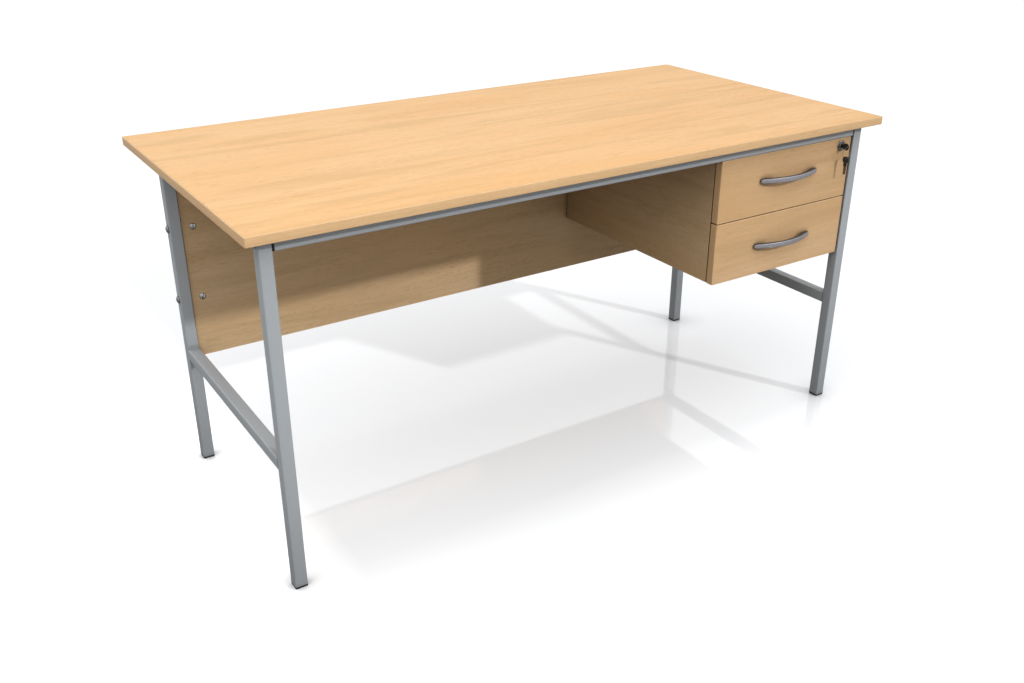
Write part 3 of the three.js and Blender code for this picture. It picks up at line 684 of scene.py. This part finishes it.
def make_desktop():
    repaint("desktop", BEECH_TOP)
    low, high, _ = box_of("desktop_edging")
    edging_ring("desktop_edge_strip", low, high, "z", EDGING_ROUND, "desk", ["desktop_edging"])


def make_modesty_panel():
    holes = []
    for side in SIDES:
        for level in LEVELS:
            low, high, centre = box_of(f"barrel_nut_{level}_{side}")
            radius = (high.x - low.x) / 2 + NUT_CLEARANCE
            holes.append(cylinder(centre, "y", radius, high.y - low.y + 2 * MM))
    banded_board("modesty_panel", "modesty", BEECH_PANEL, "y", "desk", holes)


# ---------- frame ----------

def square_tube(node, name, axis, holes=()):
    """A tube with round corners and open ends."""
    low, high, centre = box_of(node)
    length = high[AXES[axis]] - low[AXES[axis]]
    across = AXES["y" if axis == "x" else "x"]
    half = (high[across] - low[across]) / 2
    bm = bmesh.new()
    inner = half - TUBE_WALL
    stations = [
        (half - TUBE_LIP, -length / 2),
        (half, -length / 2 + TUBE_LIP),
        (half, length / 2 - TUBE_LIP),
        (half - TUBE_LIP, length / 2),
        (inner, length / 2),
        (inner, -length / 2),
    ]
    loops = []
    for reach, w in stations:
        corner = max(TUBE_ROUND - (half - reach), TUBE_INNER_ROUND)
        outline = rounded_outline(reach, reach, corner)
        loops.append([bm.verts.new(placed(axis, centre, u, v, w)) for u, v in outline])
    bridge(bm, loops, closed=True)
    bm = solid(bm)
    if holes:
        bm = carved(bm, holes)
    finished(name, bm, SILVER, "desk", [node], angle=40)


def wire_ring(bm, centre, side, up, radius, around):
    """A ring of vertices round a centre, in the plane of two directions."""
    ring = []
    for k in range(around):
        angle = FULL_TURN * k / around
        offset = side * (radius * math.cos(angle)) + up * (radius * math.sin(angle))
        ring.append(bm.verts.new(centre + offset))
    return ring


def weld_bead(bm, start, length, seed):
    """A rippled bead of weld along X, rounded at its ends."""
    rng = random.Random(seed)
    loops = []
    for step in range(WELD_STEPS + 1):
        t = step / WELD_STEPS
        ends = math.sqrt(max(0.0, 1 - (2 * t - 1) ** 8))
        ripple = 1 + WELD_RIPPLE * math.sin(t * length / WELD_HALF_PITCH * math.pi)
        ripple += rng.uniform(-WELD_UNEVENNESS, WELD_UNEVENNESS)
        radius = max(WELD_RADIUS * ends * ripple, WELD_TIP)
        loops.append(wire_ring(bm, start + X * (t * length), Y, Z, radius, WELD_AROUND))
    bridge(bm, loops)


def weld_end_frame(side):
    """Fillet welds where the top bar and the stretcher of one end meet its legs."""
    bm = bmesh.new()
    seed = WELD_SEEDS[side]
    for bar, edges in ((f"top_bar_{side}", 1), (f"stretcher_{side}", 2)):
        low, high, _ = box_of(bar)
        length = high.x - low.x - 2 * WELD_MARGIN
        for y in (low.y, high.y):
            for z in (low.z, high.z)[:edges]:
                seed += 1
                weld_bead(bm, Vector((low.x + WELD_MARGIN, y, z)), length, seed)
    finished(f"welds_{side}", bm, SILVER, "desk", angle=60)


def plug_cap(node, name, axis, inward):
    """A moulded plastic cap: a rim as wide as the tube and a ribbed spigot inside it."""
    low, high, centre = box_of(node)
    k = AXES[axis]
    rim = CAP_RIM[axis]
    valley = CAP_SPIGOT - RIB_DEPTH
    stations = [
        (TUBE_HALF - 1.2 * MM, 0.0),
        (TUBE_HALF - 0.35 * MM, 0.3 * MM),
        (TUBE_HALF, 1.0 * MM),
        (TUBE_HALF, rim - 0.3 * MM),
        (TUBE_HALF - 0.3 * MM, rim),
        (CAP_SPIGOT, rim),
    ]
    for rib in range(CAP_RIBS):
        start = rim + 3 * MM + rib * RIB_PITCH
        stations += [(valley, start), (CAP_SPIGOT, start + RIB_WIDTH), (valley, start + 2 * RIB_WIDTH)]
    stations.append((CAP_SPIGOT - 1.2 * MM, high[k] - low[k]))
    base = Vector(centre)
    base[k] = low[k] if inward > 0 else high[k]
    bm = bmesh.new()
    loops = []
    for reach, w in stations:
        corner = max(TUBE_ROUND - (TUBE_HALF - reach), CAP_CORNER)
        outline = rounded_outline(reach, reach, corner)
        loops.append([bm.verts.new(placed(axis, base, u, v, inward * w)) for u, v in outline])
    bridge(bm, loops)
    finished(name, bm, BLACK, "desk", [node], angle=28)


def leg_bolt(node, name, leg, inward):
    """A button-headed socket bolt along X, with its head outside the leg."""
    low, high, centre = box_of(node)
    leg_low, leg_high, _ = box_of(leg)
    outer, leg_face = (low.x, leg_low.x) if inward > 0 else (high.x, leg_high.x)
    head = (high.z - low.z) / 2
    thick = abs(leg_face - outer) - GAP
    length = high.x - low.x
    profile = [(0.0, 0.02 * thick)]
    for step in range(HEAD_STEPS + 1):
        angle = (0.18 + 0.82 * step / HEAD_STEPS) * QUARTER_TURN
        profile.append((head * math.sin(angle), thick * 0.8 * (1 - math.cos(angle))))
    profile += [(head, thick - 0.2 * MM), (head - 0.25 * MM, thick), (SHANK_RADIUS, thick)]
    for turn in range(int((length - thick - 4 * MM) / THREAD_PITCH)):
        start = thick + 3 * MM + turn * THREAD_PITCH
        profile += [(SHANK_RADIUS, start), (SHANK_RADIUS - THREAD_DEPTH, start + THREAD_PITCH / 2)]
    profile += [(SHANK_RADIUS - 0.4 * MM, length - 0.4 * MM), (0.0, length)]
    base = Vector((outer, centre.y, centre.z))
    bm = turned([(r, inward * w) for r, w in profile], base, "x", 36)
    socket = cylinder(base + X * (inward * thick * 0.2), "x", SOCKET_RADIUS, thick * 0.9, 6)
    finished(name, carved(solid(bm), [socket]), DULL_ZINC, "desk", [node], angle=30)


def make_frame():
    for side, sign in SIDES.items():
        for end in ("front", "back"):
            leg = f"leg_{end}_{side}"
            leg_x = box_of(leg)[2].x
            bolts = [f"rail_bolt_{end}_{side}"]
            if end == "back":
                bolts += [f"modesty_bolt_{level}_{side}" for level in LEVELS]
            holes = []
            for bolt in bolts:
                centre = box_of(bolt)[2]
                middle = Vector((leg_x, centre.y, centre.z))
                holes.append(cylinder(middle, "x", BOLT_HOLE_RADIUS, 40 * MM, 20))
            square_tube(leg, f"leg_tube_{end}_{side}", "z", holes)
            plug_cap(f"foot_{end}_{side}", f"foot_cap_{end}_{side}", "z", 1)
            plug_cap(f"rail_plug_{end}_{side}", f"rail_end_cap_{end}_{side}", "x", -sign)
            for bolt in bolts:
                leg_bolt(bolt, bolt + "_screw", leg, -sign)
        square_tube(f"top_bar_{side}", f"top_bar_tube_{side}", "y")
        square_tube(f"stretcher_{side}", f"stretcher_tube_{side}", "y")
        weld_end_frame(side)
    for end in ("front", "back"):
        square_tube(f"rail_{end}", f"rail_tube_{end}", "x")


def make_barrel_nuts():
    """Slotted barrel nuts whose faces show in the modesty panel."""
    for side in SIDES:
        for level in LEVELS:
            node = f"barrel_nut_{level}_{side}"
            low, high, centre = box_of(node)
            radius = (high.x - low.x) / 2
            dome = NUT_DOME[side]
            profile = [(0.0, -dome)]
            for step in range(1, DOME_STEPS + 1):
                share = step / DOME_STEPS
                profile.append((share * (radius - NUT_CHAMFER), -dome * (1 - share ** 2)))
            profile += [(radius, NUT_CHAMFER), (radius, high.y - low.y), (0.0, high.y - low.y)]
            base = Vector((centre.x, low.y, centre.z))
            bm = solid(turned(profile, base, "y", 40))
            slot = block(*NUT_SLOT)
            turn = Matrix.Translation(base) @ Matrix.Rotation(math.radians(NUT_SLANT[level]), 4, "Y")
            bmesh.ops.transform(slot, matrix=turn, verts=slot.verts)
            bolt_y = box_of(f"modesty_bolt_{level}_{side}")[2].y
            cross = cylinder(centre + Y * (bolt_y - centre.y), "x", BOLT_HOLE_RADIUS, 20 * MM, 20)
            finished(f"{node}_face", carved(bm, [slot, cross]), ZINC, "desk", [node], angle=30)


# ---------- pedestal ----------

def make_pedestal():
    for side in SIDES:
        repaint(f"pedestal_side_{side}", BEECH_Y, BOARD_ROUND)
    repaint("pedestal_base", BEECH_SHELF, BOARD_ROUND)
    repaint("pedestal_top", BEECH_SHELF, BOARD_ROUND)
    repaint("pedestal_back", FOIL, THIN_ROUND)


def screw_head(bm, centre, axis, outward, radius, height):
    """A pan head with a cross recess, added to bm and standing off a surface towards outward."""
    profile = [(0.0, 0.0), (radius, 0.0), (radius, SCREW_RIM * height)]
    for step in range(1, DOME_STEPS):
        angle = step / DOME_STEPS * QUARTER_TURN
        rise = SCREW_RIM + (1 - SCREW_RIM) * math.sin(angle)
        profile.append((radius * math.cos(angle), height * rise))
    profile.append((0.0, height))
    head = solid(turned([(r, outward * w) for r, w in profile], centre, axis, 24))
    across = [unit for key, unit in UNITS.items() if key != axis]
    top = centre + UNITS[axis] * (outward * height)
    cutters = []
    for one, other in (across, across[::-1]):
        span = one * (0.62 * radius) + other * (0.13 * radius) + UNITS[axis] * (0.55 * height)
        cutters.append(block(top - span, top + span))
    mesh = mesh_of("head", carved(head, cutters))
    bm.from_mesh(mesh)
    bpy.data.meshes.remove(mesh)


def roller(name, centre, outward, body):
    """A nylon roller on a steel rivet, turning about X."""
    radius, half, chamfer = ROLLER_RADIUS, ROLLER_HALF, ROLLER_CHAMFER
    profile = [
        (ROLLER_BORE, -half),
        (radius - chamfer, -half),
        (radius, -half + chamfer),
        (radius, half - chamfer),
        (radius - chamfer, half),
        (ROLLER_BORE, half),
    ]
    finished(f"{name}_tyre", turned(profile, centre, "x", 32), NYLON, body)
    rivet = [
        (0.0, -half - 0.7 * MM),
        (RIVET_HEAD, -half - 0.6 * MM),
        (RIVET_HEAD, -half - 0.1 * MM),
        (RIVET_RADIUS, -half - 0.1 * MM),
        (RIVET_RADIUS, half + 0.9 * MM),
        (0.0, half + 0.9 * MM),
    ]
    bm = turned([(r, -outward * w) for r, w in rivet], centre, "x", 20)
    finished(f"{name}_rivet", bm, ZINC, body)


def make_runners():
    for level in LEVELS:
        for side, sign in SIDES.items():
            node = f"runner_{level}_{side}"
            repaint(node, RUNNER_WHITE, SHEET_ROUND)
            low, high, _ = box_of(node)
            web_inner = (high.x if sign > 0 else low.x) - sign * SHEET
            screws = bmesh.new()
            for share in RUNNER_SCREW_PLACES:
                y = low.y + share * (high.y - low.y)
                place = Vector((web_inner, y, low.z + RUNNER_SCREW_HEIGHT))
                screw_head(screws, place, "x", -sign, *RUNNER_SCREW)
            finished(f"runner_screws_{level}_{side}", screws, ZINC, "desk")


# ---------- drawers ----------

def bow_handle(node, name, body):
    """A bowed band with a crowned face, whose blunt ends stand off the drawer beyond its two feet."""
    low, high, centre = box_of(node)
    half = (high.x - low.x) / 2
    reach = high.y - low.y
    tall = (high.z - low.z) / 2
    foot_near, foot_far = half - HANDLE_FOOT_NEAR, half - HANDLE_FOOT_FAR
    bm = bmesh.new()
    loops = []
    for step in range(-HANDLE_STEPS, HANDLE_STEPS + 1):
        share = math.sin(QUARTER_TURN * step / HANDLE_STEPS)
        x = share * half
        front = HANDLE_END + (reach - HANDLE_END) * (1 - share ** 2)
        inner = (reach - HANDLE_THICKNESS) * max(1 - (x / foot_near) ** 2, 0.0)
        back = max(inner, HANDLE_STANDOFF) if abs(x) > foot_far else inner
        to_end = half - abs(x)
        blunt = math.sqrt(max(1 - (1 - min(to_end / HANDLE_BLUNT, 1)) ** 2, 0.0004))
        end = math.sqrt(max(1 - (1 - min(to_end / HANDLE_TAPER, 1)) ** 2, 0))
        height = tall * (0.86 + 0.14 * (1 - share ** 2)) * (0.42 + 0.58 * end)
        middle = (front + back) / 2
        depth = (front - back) / 2 * (0.45 + 0.55 * blunt)
        ring = []
        for k in range(HANDLE_AROUND):
            angle = FULL_TURN * k / HANDLE_AROUND
            c, s = math.cos(angle), math.sin(angle)
            y = middle + depth * math.copysign(abs(c) ** HANDLE_SQUARENESS, c)
            z = height * math.copysign(abs(s) ** HANDLE_SQUARENESS, s)
            ring.append(bm.verts.new(Vector((centre.x + x, high.y - y, centre.z + z))))
        loops.append(ring)
    bridge(bm, loops)
    finished(name, bm, SATIN, body, [node], angle=50)


def make_drawer(level):
    body = f"drawer_{level}"
    front_low, front_high, _ = box_of(f"{body}_front")
    holes = []
    if level == "upper":
        lock = box_of("lock_housing")[2]
        middle = Vector((lock.x, (front_low.y + front_high.y) / 2, lock.z))
        holes.append(cylinder(middle, "y", LOCK_HOLE_RADIUS, 30 * MM))
    banded_board(f"{body}_front", f"{body}_front", BEECH_FRONT, "y", body, holes)
    bow_handle(f"{body}_handle", f"{body}_bow", body)
    repaint(f"{body}_base", FOIL)
    repaint(f"{body}_back", FOIL)
    handle_low, handle_high, handle = box_of(f"{body}_handle")
    screws = bmesh.new()
    for end in (handle_low.x + HANDLE_SCREW_INSET, handle_high.x - HANDLE_SCREW_INSET):
        screw_head(screws, Vector((end, front_high.y, handle.z)), "y", 1, *HANDLE_SCREW)
    finished(f"{body}_handle_screws", screws, ZINC, body)
    for side, sign in SIDES.items():
        wall = f"{body}_side_{side}"
        repaint(wall, RUNNER_WHITE, SHEET_ROUND)
        low, high, _ = box_of(wall)
        outer_face = (high.x if sign > 0 else low.x) - sign * TRACK_WIDTH
        track = Vector((outer_face + sign * TRACK_MIDDLE, 0, low.z + TRACK_HEIGHT))
        rear = track + Y * high.y + REAR_ROLLER
        roller(f"{body}_roller_{side}", rear, sign, body)
        runner_front = box_of(f"runner_{level}_{side}")[0].y
        cabinet = track + X * (sign * CABINET_ROLLER_SHIFT) + Y * (runner_front + CABINET_ROLLER_INSET)
        roller(f"cabinet_roller_{level}_{side}", cabinet, -sign, "desk")


# ---------- lock and keys ----------

def make_housing():
    low, high, centre = box_of("lock_housing")
    face = low.y + ROSETTE_THICKNESS
    place = Vector((centre.x, face, centre.z))
    rear = high.y - face
    bore = PLUG_RADIUS + PLUG_CLEARANCE
    flat = ROSETTE_RADIUS - ROSETTE_ROUND
    profile = [(bore, -1.6 * MM), (bore + 0.4 * MM, -ROSETTE_THICKNESS), (flat, -ROSETTE_THICKNESS)]
    for step in range(1, ROSETTE_STEPS + 1):
        angle = step / ROSETTE_STEPS * QUARTER_TURN
        rise = ROSETTE_RIM + (ROSETTE_THICKNESS - ROSETTE_RIM) * math.cos(angle)
        profile.append((flat + ROSETTE_ROUND * math.sin(angle), -rise))
    nut_front, nut_back = LOCK_NUT
    profile += [
        (ROSETTE_RADIUS, -FACE_GAP),
        (BARREL_RADIUS, -FACE_GAP),
        (BARREL_RADIUS, nut_front),
        (LOCK_NUT_RADIUS, nut_front),
        (LOCK_NUT_RADIUS, nut_back),
        (BARREL_RADIUS, nut_back),
        (BARREL_RADIUS, rear),
        (bore, rear),
    ]
    bm = turned(profile, place, "y", 64)
    finished("lock_body", bm, ROSETTE, "drawer_upper", ["lock_housing"], 35)


def make_plug():
    plug_low, plug_high, plug = box_of("lock_plug")
    front = Vector((plug.x, plug_low.y, plug.z))
    length = plug_high.y - plug_low.y
    profile = [
        (0.0, 0.0),
        (PLUG_RADIUS - 0.7 * MM, 0.0),
        (PLUG_RADIUS, 0.6 * MM),
        (PLUG_RADIUS, length - PLUG_TAIL),
        (PLUG_TAIL_RADIUS, length - PLUG_TAIL),
        (PLUG_TAIL_RADIUS, length - 0.4 * MM),
        (PLUG_TAIL_RADIUS - 0.4 * MM, length),
        (0.0, length),
    ]
    keyway = block(front - KEYWAY_HALF - Y * MM, front + KEYWAY_HALF + Y * KEYWAY_DEPTH)
    wide = KEYWAY_HALF * KEYWAY_FLARE
    flare = block(front - wide - Y * MM, front + wide + Y * KEYWAY_FLARE_DEPTH)
    bm = carved(solid(turned(profile, front, "y", 48)), [keyway, flare])
    finished("lock_cylinder", bm, CHROME, "lock_plug", ["lock_plug"])
    repaint("lock_cam", ZINC, THIN_ROUND)


def flat_plate(outline, half, rounding=0.0):
    """A plate in the plane of Y and Z from its outline, with its rims rounded over."""
    bm = bmesh.new()
    verts = [bm.verts.new((-half, y, z)) for y, z in outline]
    bottom = bm.faces.new(verts)
    moved = bmesh.ops.extrude_face_region(bm, geom=[bottom])
    top = [v for v in moved["geom"] if isinstance(v, bmesh.types.BMVert)]
    bmesh.ops.translate(bm, vec=(2 * half, 0, 0), verts=top)
    bmesh.ops.recalc_face_normals(bm, faces=bm.faces)
    if rounding:
        rims = [e for e in bm.edges if e.verts[0].co.x == e.verts[1].co.x]
        bmesh.ops.bevel(bm, geom=rims, offset=rounding, segments=3, profile=0.5, affect="EDGES")
    return bm


def key_head_outline():
    """A round bow that runs into a short tapered neck towards +Y."""
    meet = math.asin(BLADE_HALF.z / KEY_HEAD_RADIUS)
    points = []
    for step in range(KEY_HEAD_STEPS + 1):
        angle = meet + (FULL_TURN - 2 * meet) * step / KEY_HEAD_STEPS
        points.append((KEY_HEAD_RADIUS * math.cos(angle), KEY_HEAD_RADIUS * math.sin(angle)))
    near, far = KEY_HEAD_RADIUS + KEY_SHOULDER, KEY_HEAD_RADIUS + KEY_NECK_LENGTH
    wide = KEY_NECK_HALF
    points += [(near, -wide), (far, -wide), (far, wide), (near, wide)]
    return points


def key_blade_outline():
    """A blade towards +Y with a row of cuts along one edge and a pointed tip."""
    half = BLADE_HALF.z
    start = KEY_HEAD_RADIUS + 4 * MM
    tip = KEY_HEAD_RADIUS + BLADE_LENGTH
    points = [
        (start, -half),
        (tip - 3 * MM, -half),
        (tip, -0.9 * MM),
        (tip, 0.3 * MM),
        (tip - 2.2 * MM, half - 0.6 * MM),
    ]
    for index, depth in enumerate(BLADE_CUTS):
        y = tip - 3.4 * MM - index * CUT_PITCH
        root = half - depth * MM
        points += [(y, half - 0.2 * MM), (y - 0.8 * MM, root), (y - 1.7 * MM, root)]
    points += [(start + 3 * MM, half), (start, half)]
    return points


def make_key(node, name, body, turn):
    """A key with its plastic bow edge-on to the drawer and its blade along +Y before the turn."""
    low, high, centre = box_of(node)
    if turn:
        centre.z = high.z - KEY_HEAD_RADIUS
    else:
        centre.y = low.y + KEY_HEAD_RADIUS
    place = Matrix.Translation(centre) @ Matrix.Rotation(turn, 4, "X")
    head = flat_plate(key_head_outline(), KEY_HEAD_HALF, KEY_HEAD_ROUND)
    hole = cylinder(Y * -KEY_HOLE_OFFSET, "x", KEY_HOLE_RADIUS, 4 * KEY_HEAD_HALF, 28)
    head = carved(head, [hole])
    dishes = []
    grooves = []
    for sign in (-1, 1):
        dishes.append(cylinder(KEY_DISH_PLACE + X * (sign * KEY_DISH_REACH), "x", *KEY_DISH))
        groove = GROOVE_CORNER + X * (sign * BLADE_HALF.x)
        grooves.append(block(groove, groove + GROOVE_SIZE))
    head = carved(solid(head), dishes)
    bmesh.ops.transform(head, matrix=place, verts=head.verts)
    finished(f"{name}_bow", head, BLACK, body, [node])
    blade = carved(solid(flat_plate(key_blade_outline(), BLADE_HALF.x)), grooves)
    bmesh.ops.transform(blade, matrix=place, verts=blade.verts)
    finished(f"{name}_blade", blade, KEY_STEEL, body)


def make_key_ring():
    """A split ring: a little over two turns of round wire side by side."""
    low, high, centre = box_of("key_ring")
    radius = (high.x - low.x) / 2 - RING_INSET
    bm = bmesh.new()
    loops = []
    for step in range(RING_STEPS + 1):
        t = step / RING_STEPS
        angle = t * RING_TURNS * FULL_TURN + RING_START
        outward = Vector((math.cos(angle), 0, math.sin(angle)))
        shift = (2 * t - 1) * RING_WIRE * 0.95
        middle = centre + outward * radius + Y * shift
        loops.append(wire_ring(bm, middle, outward, Y, RING_WIRE, RING_AROUND))
    bridge(bm, loops)
    finished("split_ring", bm, CHROME, "key", ["key_ring"], angle=60)


# ---------- stage ----------

def make_floor():
    """A pale glossy floor that keeps its brightness out of the light on the desk. To the camera it
    glows as painted light, more to the left and the front, and carries painted contact shade round the
    feet.
    """
    bm = bmesh.new()
    bmesh.ops.create_grid(bm, x_segments=1, y_segments=1, size=FLOOR_HALF_SIZE)
    floor = linked("floor", mesh_of("floor", bm))
    s = Shader("pale_floor")
    seen = s.add("ShaderNodeLightPath").outputs["Is Camera Ray"]
    # painted contact shade: the floor darkens where the feet and other pieces stand close
    clear = s.openness(FLOOR_CONTACT)
    contact_shaded = s.mix(clear, scaled(FLOOR_SHOWN, FLOOR_CONTACT_SHADE), colour(*FLOOR_SHOWN))
    # painted light: a glow to the camera that rises to the left and the front and fades round the feet
    place = s.parts(s.coordinates)
    aside = s.range(s.times(place["X"], -1.0), *FLOOR_FADE_LEFT)
    ahead = s.range(s.times(place["Y"], -1.0), *FLOOR_FADE_FRONT, 0.0, 0.5)
    glow = s.range(s.math("MAXIMUM", aside, ahead), 0.0, 1.0, *FLOOR_GLOW)
    glow = s.times(glow, s.math("POWER", clear, FLOOR_CONTACT_POWER))
    s.set(Base_Color=s.mix(seen, colour(*FLOOR_BOUNCED), contact_shaded), Roughness=0.05)
    s.set(Emission_Color=colour(1, 1, 1), Emission_Strength=s.times(seen, glow))
    s.set(Specular_IOR_Level=1.0, IOR=1.6)
    floor.data.materials.append(s.material)
    floor.location.z = -FLOOR_DROP


def make_world():
    """A pale dome, brighter overhead and high on the left, that looks white from every side."""
    world = bpy.data.worlds.new("studio")
    world.use_nodes = True
    bpy.context.scene.world = world
    w = Nodes(world.node_tree)
    background = w.tree.nodes["Background"]
    background.inputs["Color"].default_value = colour(1, 1, 1)
    direction = w.parts(w.add("ShaderNodeTexCoord").outputs["Generated"])
    up = w.math("MAXIMUM", direction["Z"], 0.0)
    left = w.math("MAXIMUM", w.times(direction["X"], -1.0), 0.0)
    overhead = w.times(w.math("POWER", up, OVERHEAD_TIGHTNESS), OVERHEAD_LIGHT)
    high_left = w.times(w.times(left, up), LEFT_LIGHT)
    dome = w.math("ADD", w.math("ADD", overhead, DOME_LIGHT), high_left)
    ray = w.add("ShaderNodeLightPath").outputs
    shown = w.math("MAXIMUM", dome, w.times(ray["Is Glossy Ray"], REFLECTED_WALLS))
    w.plug(w.math("MAXIMUM", shown, ray["Is Camera Ray"]), background.inputs["Strength"])


def aimed(lamp, direction):
    lamp.rotation_mode = "QUATERNION"
    lamp.rotation_quaternion = direction.to_track_quat("-Z", "Y")


def make_lamps():
    key = bpy.data.lights.new("key_light", "SUN")
    key.energy = KEY_LIGHT
    key.angle = KEY_SOFTNESS
    aimed(linked("key_light", key), KEY_DIRECTION)
    softbox = bpy.data.lights.new("softbox", "AREA")
    softbox.shape = "RECTANGLE"
    softbox.size, softbox.size_y = SOFTBOX_SIZE
    softbox.energy = SOFTBOX_POWER
    hung = linked("softbox", softbox)
    hung.location = SOFTBOX_PLACE
    hung.visible_camera = False
    aimed(hung, SOFTBOX_AIM - SOFTBOX_PLACE)


def make_camera():
    camera = bpy.data.cameras.new("camera")
    camera.lens = CAMERA_LENS
    camera.sensor_width = CAMERA_SENSOR
    viewer = linked("camera", camera)
    viewer.location = CAMERA_PLACE
    viewer.rotation_euler = (QUARTER_TURN + CAMERA_PITCH, 0, -CAMERA_YAW)
    bpy.context.scene.camera = viewer
    bpy.context.scene.view_settings.view_transform = "Standard"


make_camera()
make_world()
make_lamps()
make_floor()
make_desktop()
make_modesty_panel()
make_frame()
make_barrel_nuts()
make_pedestal()
make_runners()
for drawer_level in LEVELS:
    make_drawer(drawer_level)
make_housing()
make_plug()
make_key("key", "key_in_lock", "key", 0.0)
make_key("spare_key", "hanging_key", "spare_key", -QUARTER_TURN)
make_key_ring()
